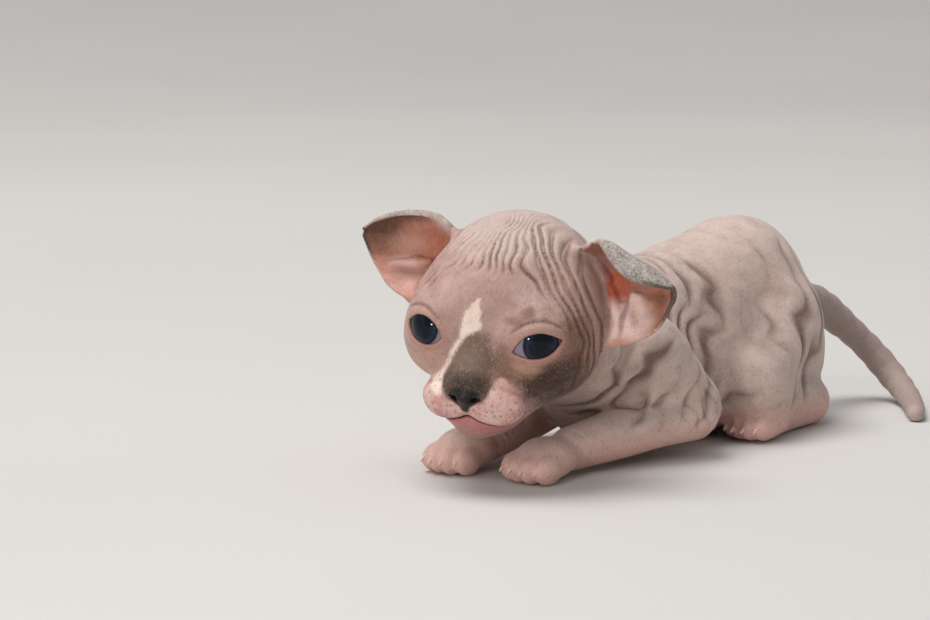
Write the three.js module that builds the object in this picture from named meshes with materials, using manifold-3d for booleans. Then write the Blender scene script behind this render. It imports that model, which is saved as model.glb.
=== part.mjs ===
// A sphynx kitten of three to four weeks, crouching with its chin low over its forepaws, life size.
// Millimetres, +Z up, floor at z = 0, origin under the breastbone.
// The kitten faces -X and its left side is -Y.
import * as THREE from 'three';
import { mergeVertices } from 'three/addons/utils/BufferGeometryUtils.js';
import Module from 'manifold-3d';

const wasm = await Module();
wasm.setup();

// Driving dimensions.
const GAP = 0.3;                 // clear space between neighbouring pieces
const SIDES = { left: -1, right: 1 };
const degrees = THREE.MathUtils.degToRad;

const HEAD = { at: [-46, -3, 42], heading: 16.8, pitch: 13.9, roll: -4.7 };
const EYE = { radius: 7.3, at: [16.0, 11.1, -1], outward: 30, lid: 0.95, halfWidth: 6.0 };
const LID_OPENING = { left: { upper: 3.3, lower: 3.3 }, right: { upper: 4.0, lower: 3.9 } };
const MOUTH = { centre: -17.1, dip: 2.5, halfDip: 8, corner: 12.8, cornerRise: -1.2, back: 18.5 };
const NOSE = { at: [30.1, -11.2], halfWidth: 2.9, height: 2.0, depth: 2.6, wing: 4.5, tip: 3.2 };
const EAR_WALL = 1.3;
const STEPS = { head: 2.8, nose: 0.95, trunk: 6.5, limb: 4.4, foot: 3.1, tail: 3.0, socket: 1.2 };
const CUTTERS = {                // how thick the tools are that part the limbs and neck from the trunk
  upperArm: [12.6, 9.8],
  lowerArm: [9.8, 8.4],
  thigh: [15.5, 12.5],
  shank: [12.5, 9],
  foot: [8.2, 9.4],
  neck: [17.5, 18],
};
const PAW = { halfWidth: 9.8, top: 11.4, back: 1.5 };
const BANDS = { rump: [38, 110], abdomen: [14, 38], chest: [-60, 14] };
const NECK_END = -9;

// Smooth forms as distance fields: negative inside, zero on the skin.
const ball = (c, r) => (x, y, z) => Math.hypot(x - c[0], y - c[1], z - c[2]) - r;

function egg(c, r, pitch = 0) {
  const cos = Math.cos(degrees(pitch));
  const sin = Math.sin(degrees(pitch));
  return (x, y, z) => {
    const dx = (x - c[0]) * cos - (z - c[2]) * sin;
    const dz = (x - c[0]) * sin + (z - c[2]) * cos;
    const dy = y - c[1];
    const near = Math.hypot(dx / r[0], dy / r[1], dz / r[2]);
    const slope = Math.hypot(dx / r[0] ** 2, dy / r[1] ** 2, dz / r[2] ** 2);
    return slope < 1e-9 ? -Math.min(...r) : near * (near - 1) / slope;
  };
}

function limb(a, b, ra, rb) {
  const [ux, uy, uz] = [b[0] - a[0], b[1] - a[1], b[2] - a[2]];
  const length2 = ux * ux + uy * uy + uz * uz;
  return (x, y, z) => {
    const [px, py, pz] = [x - a[0], y - a[1], z - a[2]];
    const t = Math.min(1, Math.max(0, (px * ux + py * uy + pz * uz) / length2));
    return Math.hypot(px - ux * t, py - uy * t, pz - uz * t) - (ra + (rb - ra) * t);
  };
}

const softMin = (a, b, k) => {
  const h = Math.max(k - Math.abs(a - b), 0) / k;
  return Math.min(a, b) - h * h * k * 0.25;
};
const FAR = 1e3;
const fuse = (k, ...fields) => (x, y, z) => fields.reduce((d, f) => softMin(d, f(x, y, z), k), FAR);
const carve = (k, body, ...tools) => (x, y, z) =>
  tools.reduce((d, f) => -softMin(-d, f(x, y, z), k), body(x, y, z));
const both = (make) => [make(1), make(-1)];
const shifted = (field, by) => (x, y, z) => field(x, y, z) - by;

// The head, in its own frame: x forward, y to the kitten's left, z up.
const headPose = new THREE.Matrix4()
  .makeRotationFromEuler(new THREE.Euler(
    degrees(HEAD.roll), degrees(HEAD.pitch), degrees(HEAD.heading) + Math.PI, 'ZYX'))
  .setPosition(...HEAD.at);
const headInverse = headPose.clone().invert().elements;
const inHeadFrame = (field) => (x, y, z) => {
  const m = headInverse;
  return field(
    m[0] * x + m[4] * y + m[8] * z + m[12],
    m[1] * x + m[5] * y + m[9] * z + m[13],
    m[2] * x + m[6] * y + m[10] * z + m[14]);
};

const eyeCentre = (s) => [EYE.at[0], EYE.at[1] * s, EYE.at[2]];
const skull = fuse(6,
  egg([-2.5, 0, 2.1], [21.5, 20, 18.7]),
  egg([8, 0, 4.6], [13.5, 15, 12.3]),
  ...both((s) => egg([7.5, 9.5 * s, -1], [14.6, 12, 11.5])),
  ...both((s) => egg([10, 12.5 * s, -6.5], [11.6, 9.8, 9])),
  ...both((s) => egg([2, 13 * s, -8], [13, 8.6, 11])));
const snout = fuse(3.5,
  limb([12, 0, -3], [26.3, 0, -9.6], 9.2, 5.4),
  egg([20, 0, -13.5], [10, 9.5, 7.5]),
  ...both((s) => egg([25, 6 * s, -14.4], [6.2, 6.6, 5.5])));
const jaw = fuse(4,
  egg([19.5, 0, -19.8], [9, 7.4, 5.4], 8),
  ...both((s) => limb([17, 5 * s, -18], [1, 11.5 * s, -13], 5.2, 7)));
const lids = fuse(0.5, ...both((s) => ball(eyeCentre(s), EYE.radius + EYE.lid)));
const headForm = fuse(3.2, fuse(4.5, skull, snout), jaw, lids);

// The neck and trunk.
const neck = fuse(8,
  limb([-6, 0, 27], [-32, -2, 36], 15.5, 14.5),
  egg([-26, -1, 24], [15, 13, 9], 20));
const trunk = fuse(9,
  egg([0, 0, 21.6], [25, 18.5, 22.3]),
  limb([2, 0, 34.5], [44, 0, 37.5], 11.5, 14.5),
  egg([28, 0, 22.7], [27, 21, 23.4]),
  egg([51.5, 0, 30.5], [20.5, 18.5, 23]),
  ...both((s) => egg([56.5, 9.5 * s, 18], [14.5, 11, 16])));

const SHOULDER = [-9, 15.5, 26];
const ELBOW = [3, 20, 13.5];
const WRIST = [-35, 11.5, 6];
const pawReach = { left: 0, right: -3 };
function foreleg(s, reach) {
  const wrist = [WRIST[0] + reach, WRIST[1] * s, WRIST[2]];
  const paw = [wrist[0] - 9, wrist[1] - 0.5 * s, 4.9];
  const toes = [-1.5, -0.5, 0.5, 1.5].map((i) =>
    egg([paw[0] - 7.2 + Math.abs(i) * 1.3, paw[1] + i * 3.4, 3.3], [4.3, 2.3, 3.4]));
  return {
    upper: limb([SHOULDER[0], SHOULDER[1] * s, SHOULDER[2]], [ELBOW[0], ELBOW[1] * s, ELBOW[2]], 9.6, 7),
    lower: limb([ELBOW[0] - 0.5, ELBOW[1] * s, ELBOW[2] - 2.8], wrist, 6.9, 5.3),
    paw: fuse(1.2, egg(paw, [8, 6.9, 5.3]), ...toes),
  };
}

const HIP = [50, 11, 27.5];
const KNEE = [31, 17.5, 16];
const HOCK = [58.5, 17.5, 6.6];
const TOES = [29.5, 20, 4.3];
function hindLeg(s) {
  const toes = [-1.5, -0.5, 0.5, 1.5].map((i) =>
    egg([TOES[0] - 2.6 + Math.abs(i) * 1.3, TOES[1] * s + i * 3, 3.4], [4.2, 2.05, 3.1]));
  const at = (p) => [p[0], p[1] * s, p[2]];
  return {
    thigh: limb(at(HIP), at(KNEE), 13, 9.6),
    shank: limb([KNEE[0] + 1, KNEE[1] * s + s, KNEE[2] - 3], at(HOCK), 8, 5.6),
    foot: fuse(1.6, limb([HOCK[0] + 1, HOCK[1] * s, 5], [TOES[0] + 4, TOES[1] * s, TOES[2]], 4.9, 4.9),
      egg([TOES[0] + 4, TOES[1] * s, 4.2], [7, 6.4, 4.7]), ...toes),
  };
}

// The tail droops from the rump, meets the floor and curls forward on the left side.
const tailLine = new THREE.CatmullRomCurve3([
  [64, 0, 32], [78, -0.5, 30], [89, -2.3, 26], [97, -5.5, 20], [102.5, -10.5, 12.8], [103, -17.2, 6.2],
  [98.5, -24.2, 2.8], [90, -31, 2.1], [80, -38, 1.7],
].map((p) => new THREE.Vector3(...p)));
const TAIL = { root: 5.6, tip: 2.1, pieces: 16 };
const tailPoint = (i) => tailLine.getPointAt(i / TAIL.pieces).toArray();
const tailRadius = (i) => TAIL.root + (TAIL.tip - TAIL.root) * (i / TAIL.pieces) ** 0.9;
const tail = fuse(1, ...Array.from({ length: TAIL.pieces }, (_, i) =>
  limb(tailPoint(i), tailPoint(i + 1), tailRadius(i), tailRadius(i + 1))));

const fore = Object.fromEntries(Object.entries(SIDES).map(([n, s]) => [n, foreleg(s, pawReach[n])]));
const hind = Object.fromEntries(Object.entries(SIDES).map(([n, s]) => [n, hindLeg(s)]));
const foreForm = (n) => fuse(2.5, fore[n].upper, fore[n].lower, fore[n].paw);
const hindForm = (n) => fuse(3, hind[n].thigh, hind[n].shank, hind[n].foot);
const headField = inHeadFrame(headForm);
const thighs = Object.keys(SIDES).map((n) => hind[n].thigh);
const bodyField = fuse(3, fuse(4.5, fuse(7, trunk, neck), ...thighs, tail),
  ...Object.keys(SIDES).flatMap((n) => [hindForm(n), foreForm(n)]));
const wholeField = (x, y, z) => softMin(bodyField(x, y, z), headField(x, y, z), 5);

// From a field to a closed mesh: a vertex for each sheet of skin in a cell, a quad round each crossed edge.
const CORNERS = [0, 1, 2, 3, 4, 5, 6, 7].map((c) => [c & 1, (c >> 1) & 1, c >> 2]);
const EDGES = [
  [0, 1], [2, 3], [4, 5], [6, 7],
  [0, 2], [1, 3], [4, 6], [5, 7],
  [0, 4], [1, 5], [2, 6], [3, 7]];
const CELL_FACES = [[0, 2, 3, 1], [4, 5, 7, 6], [0, 1, 5, 4], [2, 6, 7, 3], [0, 4, 6, 2], [1, 3, 7, 5]];
const edgeBetween = (a, b) => EDGES.findIndex(([p, q]) => (p === a && q === b) || (p === b && q === a));
const CORNER_LINKS = CELL_FACES.flatMap((face) => face.map((corner, n) => ({
  corner, face, before: edgeBetween(face[(n + 3) % 4], corner), after: edgeBetween(corner, face[(n + 1) % 4]),
})));

// The closed rounds of crossed edges in one cell.
// On a face crossed four times each inner corner keeps to itself.
function loopsOf(v) {
  const crossed = EDGES.map(([a, b]) => (v[a] < 0) !== (v[b] < 0));
  const links = EDGES.map(() => []);
  const join = (a, b) => {
    links[a].push(b);
    links[b].push(a);
  };
  for (const face of CELL_FACES) {
    const sides = face
      .map((corner, n) => edgeBetween(corner, face[(n + 1) % 4]))
      .filter((edge) => crossed[edge]);
    if (sides.length === 2) {
      join(...sides);
    }
  }
  for (const { corner, face, before, after } of CORNER_LINKS) {
    const four = face.every((c, n) => crossed[edgeBetween(c, face[(n + 1) % 4])]);
    if (four && v[corner] < 0) {
      join(before, after);
    }
  }
  const loops = [];
  const seen = new Set();
  crossed.forEach((is, start) => {
    if (!is || seen.has(start)) {
      return;
    }
    const loop = [start];
    seen.add(start);
    for (const edge of loop) {
      for (const next of links[edge].filter((other) => !seen.has(other))) {
        seen.add(next);
        loop.push(next);
      }
    }
    loops.push(loop);
  });
  return loops;
}

function eachCell(from, to, visit) {
  for (let k = from[2]; k < to[2]; k++) {
    for (let j = from[1]; j < to[1]; j++) {
      for (let i = from[0]; i < to[0]; i++) {
        visit(i, j, k);
      }
    }
  }
}

function meshOf(open, low, high, step) {
  const [nx, ny, nz] = low.map((l, i) => Math.ceil((high[i] - l) / step) + 1);
  const edge = 1.1 * step;
  const field = (x, y, z) => Math.max(
    open(x, y, z),
    low[0] + edge - x, low[1] + edge - y, low[2] + edge - z,
    x + edge - low[0] - (nx - 1) * step,
    y + edge - low[1] - (ny - 1) * step,
    z + edge - low[2] - (nz - 1) * step);
  const index = (i, j, k) => i + nx * (j + ny * k);
  const values = new Float32Array(nx * ny * nz);
  eachCell([0, 0, 0], [nx, ny, nz], (i, j, k) => {
    values[index(i, j, k)] = field(low[0] + i * step, low[1] + j * step, low[2] + k * step);
  });
  const vertexOf = new Map();
  const points = [];
  eachCell([0, 0, 0], [nx - 1, ny - 1, nz - 1], (i, j, k) => {
    const v = CORNERS.map(([a, b, c]) => values[index(i + a, j + b, k + c)]);
    if (v.every((d) => d < 0) || v.every((d) => d >= 0)) {
      return;
    }
    for (const loop of loopsOf(v)) {
      const sum = [0, 0, 0];
      for (const edge of loop) {
        const [a, b] = EDGES[edge];
        const t = v[a] / (v[a] - v[b]);
        for (let n = 0; n < 3; n++) {
          sum[n] += (CORNERS[a][n] + t * (CORNERS[b][n] - CORNERS[a][n])) / loop.length;
        }
        vertexOf.set(12 * index(i, j, k) + edge, points.length / 3);
      }
      points.push(...[i, j, k].map((c, n) => low[n] + (c + sum[n]) * step));
    }
  });
  const faces = [];
  const distance2 = (a, b) => [0, 1, 2].reduce((s, n) => s + (points[3 * a + n] - points[3 * b + n]) ** 2, 0);
  const quad = (a, b, c, d, flip) => {
    const q = flip ? [a, d, c, b] : [a, b, c, d];
    faces.push(...(distance2(q[0], q[2]) < distance2(q[1], q[3])
      ? [q[0], q[1], q[2], q[0], q[2], q[3]] : [q[0], q[1], q[3], q[1], q[2], q[3]]));
  };
  eachCell([1, 1, 1], [nx - 1, ny - 1, nz - 1], (i, j, k) => {
    const here = values[index(i, j, k)] < 0;
    const cell = (a, b, c, edge) => vertexOf.get(12 * index(i - a, j - b, k - c) + edge);
    if (here !== values[index(i + 1, j, k)] < 0) {
      quad(cell(0, 1, 1, 3), cell(0, 0, 1, 2), cell(0, 0, 0, 0), cell(0, 1, 0, 1), !here);
    }
    if (here !== values[index(i, j + 1, k)] < 0) {
      quad(cell(1, 0, 1, 7), cell(0, 0, 1, 6), cell(0, 0, 0, 4), cell(1, 0, 0, 5), here);
    }
    if (here !== values[index(i, j, k + 1)] < 0) {
      quad(cell(1, 1, 0, 11), cell(0, 1, 0, 10), cell(0, 0, 0, 8), cell(1, 0, 0, 9), !here);
    }
  });
  settle(points, field, step, faces);
  return new THREE.BufferGeometry()
    .setAttribute('position', new THREE.BufferAttribute(new Float32Array(points), 3))
    .setIndex(faces);
}

// Slides each vertex along the field's slope until it lies on the skin, evening out the spacing in between.
function settle(points, field, step, faces) {
  const neighbours = Array.from({ length: points.length / 3 }, () => new Set());
  for (let f = 0; f < faces.length; f += 3) {
    for (let n = 0; n < 3; n++) {
      neighbours[faces[f + n]].add(faces[f + (n + 1) % 3]).add(faces[f + (n + 2) % 3]);
    }
  }
  const e = 0.02 * step;
  for (let round = 0; round < 6; round++) {
    const before = points.slice();
    neighbours.forEach((ring, v) => {
      const p = [0, 1, 2].map((n) => {
        const mean = [...ring].reduce((sum, other) => sum + before[3 * other + n] / ring.size, 0);
        return round % 2 ? before[3 * v + n] : 0.5 * (before[3 * v + n] + mean);
      });
      const d = field(...p);
      const g = [0, 1, 2].map((n) => (field(...p.map((c, m) => (m === n ? c + e : c))) - d) / e);
      const g2 = g[0] ** 2 + g[1] ** 2 + g[2] ** 2;
      const move = g2 < 0.04 ? 0 : Math.max(-0.5 * step, Math.min(0.5 * step, d / g2));
      for (let n = 0; n < 3; n++) {
        points[3 * v + n] = p[n] - g[n] * move;
      }
    });
  }
}

// Solids.
function solidOf(geometry) {
  const bare = geometry.clone();
  for (const name of Object.keys(bare.attributes).filter((n) => n !== 'position')) {
    bare.deleteAttribute(name);
  }
  const merged = geometry.index && !geometry.attributes.normal ? bare : mergeVertices(bare, 1e-4);
  return new wasm.Manifold(new wasm.Mesh({
    numProp: 3,
    vertProperties: new Float32Array(merged.attributes.position.array),
    triVerts: new Uint32Array(merged.index.array),
  }));
}
const solidFrom = (field, box, step) => solidOf(meshOf(field, box[0], box[1], step));
const largest = (solid) => solid.decompose().reduce((a, b) => (a.volume() > b.volume() ? a : b));
function geometryOf(solid) {
  const mesh = solid.getMesh();
  return new THREE.BufferGeometry()
    .setAttribute('position', new THREE.BufferAttribute(new Float32Array(mesh.vertProperties), 3))
    .setIndex(new THREE.BufferAttribute(new Uint32Array(mesh.triVerts), 1));
}
const slab = (low, high) => solidOf(new THREE.BoxGeometry(...high.map((h, i) => h - low[i]))
  .translate(...high.map((h, i) => (h + low[i]) / 2)));
const aboveFloor = slab([-200, -200, 0], [300, 200, 200]);

// Ears: a cupped sheet between a lower and an upper margin, its upper edge turned forward.
const EARS = {
  right: {
    upper: [[-1, -13, 13], [-3.5, -21, 18.4], [-4, -30, 17.9], [-4, -36.5, 15], [-4, -40.4, 11.8]],
    lower: [[6, -18, -5], [4.5, -24, -1.8], [2, -30.4, 0.2], [-1.5, -36.5, 4.6], [-4, -40.6, 10]],
    cup: 10, flap: 1.2, foldFrom: -0.1,
  },
  left: {
    upper: [[-1, 13, 13], [-3.5, 21.5, 17], [-4.5, 28, 14.6], [-4.5, 33.6, 11.6], [-3.8, 38.2, 7.2]],
    lower: [[6, 18, -7], [3.5, 24.5, -6.6], [1.5, 30.2, -5.2], [-0.8, 35.4, -2.2], [-3.3, 38.3, 3.6]],
    cup: 10, flap: 5.2, foldFrom: 0.22,
  },
};
function earSolid({ upper, lower, cup, flap, foldFrom }) {
  const [across, along] = [12, 7];
  const curve = (points) => new THREE.CatmullRomCurve3(points.map((p) => new THREE.Vector3(...p)));
  const [top, bottom] = [curve(upper), curve(lower)];
  const middle = (u, v) => {
    const [a, b] = [bottom.getPoint(v), top.getPoint(v)];
    const turn = Math.max(0, (u - 0.78) / 0.22);
    const rise = Math.min(1, u / 0.86);
    const depth = cup * (1 - v) ** 0.75 + 1.2;
    const p = a.lerp(b, rise - 0.06 * Math.sin(Math.PI * rise));
    p.x -= depth * Math.sin(Math.PI * rise) ** 0.8;
    const folded = Math.max(0, (v - foldFrom) / (1 - foldFrom)) ** 0.8;
    const over = flap * Math.sin(Math.PI * folded) * turn;
    return p.add(new THREE.Vector3(over * 0.95, 0, -over * 0.85 * turn));
  };
  const points = [];
  const e = 1e-3;
  eachCell([0, 0, 0], [across + 1, along + 1, 2], (i, j, side) => {
    const [u, v] = [i / across, j / along];
    const [u0, u1] = [Math.max(0, u - e), Math.min(1, u + e)];
    const [v0, v1] = [Math.max(0, v - e), Math.min(1, v + e)];
    const du = middle(u1, v).sub(middle(u0, v));
    const dv = middle(u, v1).sub(middle(u, v0));
    const wall = EAR_WALL * (1 - 0.25 * v) * (1 - 0.35 * Math.abs(2 * u - 1) ** 6);
    const lift = (0.5 - side) * wall;
    points.push(...middle(u, v).addScaledVector(du.cross(dv).normalize(), lift).toArray());
  });
  const row = across + 1;
  const back = row * (along + 1);
  const faces = [];
  const quad = (a, b, c, d) => faces.push(a, b, c, a, c, d);
  eachCell([0, 0, 0], [across, along, 1], (i, j) => {
    const a = i + row * j;
    quad(a, a + 1, a + 1 + row, a + row);
    quad(back + a, back + a + row, back + a + 1 + row, back + a + 1);
  });
  const rim = [];
  for (let i = 0; i < across; i++) {
    rim.push([i, i + 1], [row * along + i + 1, row * along + i]);
  }
  for (let j = 0; j < along; j++) {
    rim.push([row * (j + 1), row * j], [row * j + across, row * (j + 1) + across]);
  }
  for (const [a, b] of rim) {
    quad(b, a, back + a, back + b);
  }
  const geometry = new THREE.BufferGeometry()
    .setAttribute('position', new THREE.BufferAttribute(new Float32Array(points), 3))
    .setIndex(faces)
    .applyMatrix4(headPose);
  const solid = solidOf(geometry);
  return solid.volume() > 0 ? solid : solidOf(turned(geometry));
}
function turned(geometry) {
  const flipped = geometry.clone();
  const index = flipped.index.array;
  for (let i = 0; i < index.length; i += 3) {
    [index[i + 1], index[i + 2]] = [index[i + 2], index[i + 1]];
  }
  return flipped;
}

// Tools for the eyes, the nose and the mouth.
const placed = (geometry) => solidOf(geometry.applyMatrix4(headPose));
const eyeball = (s, r, around, down) =>
  placed(new THREE.SphereGeometry(r, around, down).rotateZ(-Math.PI / 2).translate(...eyeCentre(s)));

const basis = (x, y, z, at) => new THREE.Matrix4()
  .makeBasis(...[x, y, z].map((v) => new THREE.Vector3(...v)))
  .setPosition(...at);

// The almond between the lids, pushed outward from the middle of the eye.
function lidOpening(s, { upper, lower }) {
  const w = EYE.halfWidth;
  const [cos, sin] = [Math.cos(degrees(EYE.outward)), s * Math.sin(degrees(EYE.outward))];
  const outline = new THREE.Shape()
    .moveTo(-w * s, -1.2)
    .bezierCurveTo(-w * 0.65 * s, upper * 1.25, w * 0.55 * s, upper * 1.4, w * s, 1.2)
    .bezierCurveTo(w * 0.75 * s, -lower * 1.2, -w * 0.5 * s, -lower * 1.35, -w * s, -1.2);
  return placed(new THREE.ExtrudeGeometry(outline, { depth: 14, curveSegments: 7, bevelEnabled: false })
    .applyMatrix4(basis([-sin, cos, 0], [0, 0, 1], [cos, sin, 0], eyeCentre(s))));
}

// Everything under the line of the mouth, as far back as the corners; lowered by the gap for the jaw itself.
function underLip(lower, back) {
  const { centre, dip, halfDip, corner, cornerRise } = MOUTH;
  const half = (s) => [
    [0, centre],
    [halfDip * 0.35 * s, centre - dip * 0.5],
    [halfDip * s, centre - dip],
    [corner * s, centre + cornerRise],
    [22 * s, centre + cornerRise + 3]];
  const line = [...half(-1).reverse(), ...half(1).slice(1)].map(([y, z]) => new THREE.Vector2(y, z - lower));
  const outline = new THREE.Shape()
    .moveTo(line[0].x, -45)
    .lineTo(line[0].x, line[0].y)
    .splineThru(line.slice(1))
    .lineTo(line.at(-1).x, -45);
  return placed(new THREE.ExtrudeGeometry(outline, { depth: 50, curveSegments: 3, bevelEnabled: false })
    .applyMatrix4(basis([0, 1, 0], [0, 0, 1], [1, 0, 0], [back, 0, 0])));
}

// The nose leather: a narrow middle with a wing on each side, tapering down to a point.
// The nostrils are open.
const nosePoint = (dx, y, dz) => [NOSE.at[0] + dx, y, NOSE.at[1] + dz];
const noseForm = carve(0.4,
  fuse(1.0,
    egg(nosePoint(0, 0, 0), [NOSE.depth, NOSE.halfWidth, NOSE.height]),
    ...both((s) => limb(nosePoint(-0.2, 1.8 * s, -0.2), nosePoint(-1.6, NOSE.wing * s, 0.7), 1.6, 0.8)),
    limb(nosePoint(0.5, 0, -0.6), nosePoint(0.2, 0, -NOSE.tip), 2.1, 0.75)),
  ...both((s) => limb(nosePoint(2.4, 2.0 * s, -0.9), nosePoint(-0.6, 2.6 * s, -0.3), 0.75, 0.6)),
  ...both((s) => limb(nosePoint(1.4, 2.3 * s, -1.0), nosePoint(-0.4, 5.0 * s, -0.1), 0.5, 0.35)));

// Zones that share the body out among the pieces.
const HEAD_BOX = [[-88, -34, 4], [-12, 28, 74]];
const skinOf = (box, step) => solidFrom(wholeField, box, step).intersect(aboveFloor);
const zone = (field, grow, box, step) => solidFrom(shifted(field, grow), box, step * STEPS.socket);
const around = (...points) => (pad) => [
  [0, 1, 2].map((i) => Math.min(...points.map((p) => p[i])) - pad),
  [0, 1, 2].map((i) => Math.max(...points.map((p) => p[i])) + pad)];
const on = (s, p) => [p[0], p[1] * s, p[2]];

// A plain tapered capsule, for cutting a piece out of the skin round one bone.
function capsule(a, b, ra, rb) {
  const length = Math.hypot(b[0] - a[0], b[1] - a[1], b[2] - a[2]);
  const arc = (r, at, from) => [0, 1, 2, 3].map((i) => {
    const turn = from + (i / 3) * Math.PI / 2;
    return new THREE.Vector2(Math.max(0, r * Math.cos(turn)), at + r * Math.sin(turn));
  });
  const axis = new THREE.Vector3(b[0] - a[0], b[1] - a[1], b[2] - a[2]).normalize();
  return solidOf(new THREE.LatheGeometry([...arc(ra, 0, -Math.PI / 2), ...arc(rb, length, 0)], 14)
    .applyQuaternion(new THREE.Quaternion().setFromUnitVectors(new THREE.Vector3(0, 1, 0), axis))
    .translate(...a));
}
const grown = (...cones) => [0, GAP].map((gap) => cones
  .map(([a, b, ra, rb]) => capsule(a, b, ra + gap, rb + gap))
  .reduce((all, one) => all.add(one)));

const headZone = (gap) => zone(headField, 1.5 + gap, [[-92, -36, 0], [-10, 30, 76]], 4.2);
const [headTaken, headGap] = [headZone(0), headZone(GAP)];
const pieces = {};

// Head, with its sockets, nose and lower jaw.
const headSkin = skinOf(HEAD_BOX, STEPS.head);
const noseBox = [[NOSE.at[0] - 4, -7, NOSE.at[1] - 7], [NOSE.at[0] + 5, 7, NOSE.at[1] + 5]];
const noseSolid = (grow) => placed(meshOf(shifted(noseForm, grow), ...noseBox, STEPS.nose));
let head = headSkin.intersect(headTaken).subtract(noseSolid(GAP));
for (const [name, s] of Object.entries(SIDES)) {
  const side = -s;
  head = head
    .subtract(eyeball(side, EYE.radius + GAP, 14, 10))
    .subtract(lidOpening(side, LID_OPENING[name]));
  pieces[`eye_${name}`] = eyeball(side, EYE.radius, 16, 11);
}
pieces.nose = noseSolid(0);
pieces.lower_jaw = head.intersect(underLip(GAP / 2, MOUTH.back + GAP / 2));
pieces.head = head.subtract(underLip(-GAP / 2, MOUTH.back - GAP / 2));

for (const name of Object.keys(SIDES)) {
  const root = zone(headField, GAP, [[-92, -36, 0], [-10, 30, 76]], 2.2);
  pieces[`ear_${name}`] = earSolid(EARS[name]).subtract(root);
}

// Limbs, from the paws upward: each piece leaves the next one its own socket.
const taken = [headGap];
const claim = (name, skin, own, grown) => {
  pieces[name] = taken.reduce((solid, other) => solid.subtract(other), skin.intersect(own));
  taken.push(grown);
};
for (const [name, s] of Object.entries(SIDES)) {
  const wrist = [WRIST[0] + pawReach[name], WRIST[1] * s, WRIST[2]];
  const pawSlab = (gap) => slab(
    [-80, wrist[1] - PAW.halfWidth, -1], [wrist[0] - PAW.back + gap, wrist[1] + PAW.halfWidth, PAW.top]);
  const armBox = around(on(s, SHOULDER), on(s, ELBOW), [wrist[0], wrist[1], 8])(14);
  const pawBox = [[wrist[0] - 24, wrist[1] - 12, -6], [wrist[0] + 6, wrist[1] + 12, 16]];
  claim(`forepaw_${name}`, skinOf(pawBox, STEPS.foot), pawSlab(0), pawSlab(GAP));
  claim(`foreleg_${name}`, skinOf(armBox, STEPS.limb), ...grown(
    [on(s, SHOULDER), on(s, ELBOW), ...CUTTERS.upperArm], [on(s, ELBOW), wrist, ...CUTTERS.lowerArm]));
}
for (const [name, s] of Object.entries(SIDES)) {
  const footBox = [[17, 20 * s - 15, -6], [72, 20 * s + 15, 17]];
  const legBox = around(on(s, HIP), on(s, KNEE), on(s, HOCK), [KNEE[0], 19 * s, 4])(16);
  claim(`hind_foot_${name}`, skinOf(footBox, STEPS.foot), ...grown(
    [[HOCK[0] + 1, HOCK[1] * s, 2.6], [TOES[0], TOES[1] * s, 1.6], ...CUTTERS.foot]));
  claim(`hind_leg_${name}`, skinOf(legBox, STEPS.limb), ...grown(
    [on(s, HIP), on(s, KNEE), ...CUTTERS.thigh], [on(s, KNEE), on(s, HOCK), ...CUTTERS.shank]));
}

// The tail in four lengths, then the trunk from rump to neck.
const tailCuts = [0.13, 0.34, 0.57, 0.79, 1];
const endRound = 0.035;
function tailLength(from, to, rings, sides = 10) {
  const points = [];
  const faces = [];
  for (let i = 0; i <= rings; i++) {
    const t = from + (to - from) * i / rings;
    const [at, along] = [tailLine.getPointAt(t), tailLine.getTangentAt(t)];
    const across = new THREE.Vector3(0, 0, 1).cross(along).normalize();
    const over = along.clone().cross(across);
    const left = Math.min(1, Math.max(0, (1 - t) / endRound));
    const r = tailRadius(TAIL.pieces * t) * Math.sqrt(Math.max(0.03, 1 - (1 - left) ** 2));
    for (let n = 0; n < sides; n++) {
      const turn = n / sides * 2 * Math.PI;
      const p = at.clone()
        .addScaledVector(across, r * Math.cos(turn))
        .addScaledVector(over, r * Math.sin(turn));
      points.push(...p.toArray());
    }
  }
  eachCell([0, 0, 0], [sides, rings, 1], (n, i) => {
    const [a, b] = [i * sides + n, i * sides + (n + 1) % sides];
    faces.push(a, b, b + sides, a, b + sides, a + sides);
  });
  for (let n = 1; n < sides - 1; n++) {
    faces.push(0, n + 1, n, rings * sides, rings * sides + n, rings * sides + n + 1);
  }
  return solidOf(new THREE.BufferGeometry()
    .setAttribute('position', new THREE.BufferAttribute(new Float32Array(points), 3))
    .setIndex(faces));
}
const slice = (t, lift) => {
  const [at, along] = [tailLine.getPointAt(t), tailLine.getTangentAt(t)];
  return solidOf(new THREE.BoxGeometry(26, 60, 26)
    .translate(0, 30 + lift, 0)
    .applyQuaternion(new THREE.Quaternion().setFromUnitVectors(new THREE.Vector3(0, 1, 0), along))
    .translate(...at.toArray()));
};
const tailGap = GAP / 2 / tailLine.getLength();
pieces.tail_base = skinOf([[60, -30, 0], [112, 16, 46]], STEPS.tail)
  .intersect(slice(tailCuts[0], GAP / 2))
  .subtract(slice(tailCuts[1], -GAP / 2));
pieces.tail_upper = tailLength(tailCuts[1] + tailGap, tailCuts[2] - tailGap, 6);
pieces.tail_lower = tailLength(tailCuts[2] + tailGap, tailCuts[3] - tailGap, 7).intersect(aboveFloor);
pieces.tail_tip = tailLength(tailCuts[3] + tailGap, tailCuts[4], 12).intersect(aboveFloor);
const trunkSkin = skinOf([[-40, -38, -10], [90, 38, 70]], STEPS.trunk);
const neckBox = [[-64, -30, 0], [10, 30, 66]];
const neckHalf = (gap) => slab([-80, -60, -5], [NECK_END + gap, 60, 80]);
const [neckTaken, neckGap] = grown([[-4, 0, 28], [-34, -2, 33], ...CUTTERS.neck]);
claim('neck', skinOf(neckBox, STEPS.limb),
  neckTaken.intersect(neckHalf(0)), neckGap.intersect(neckHalf(GAP)));
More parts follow.
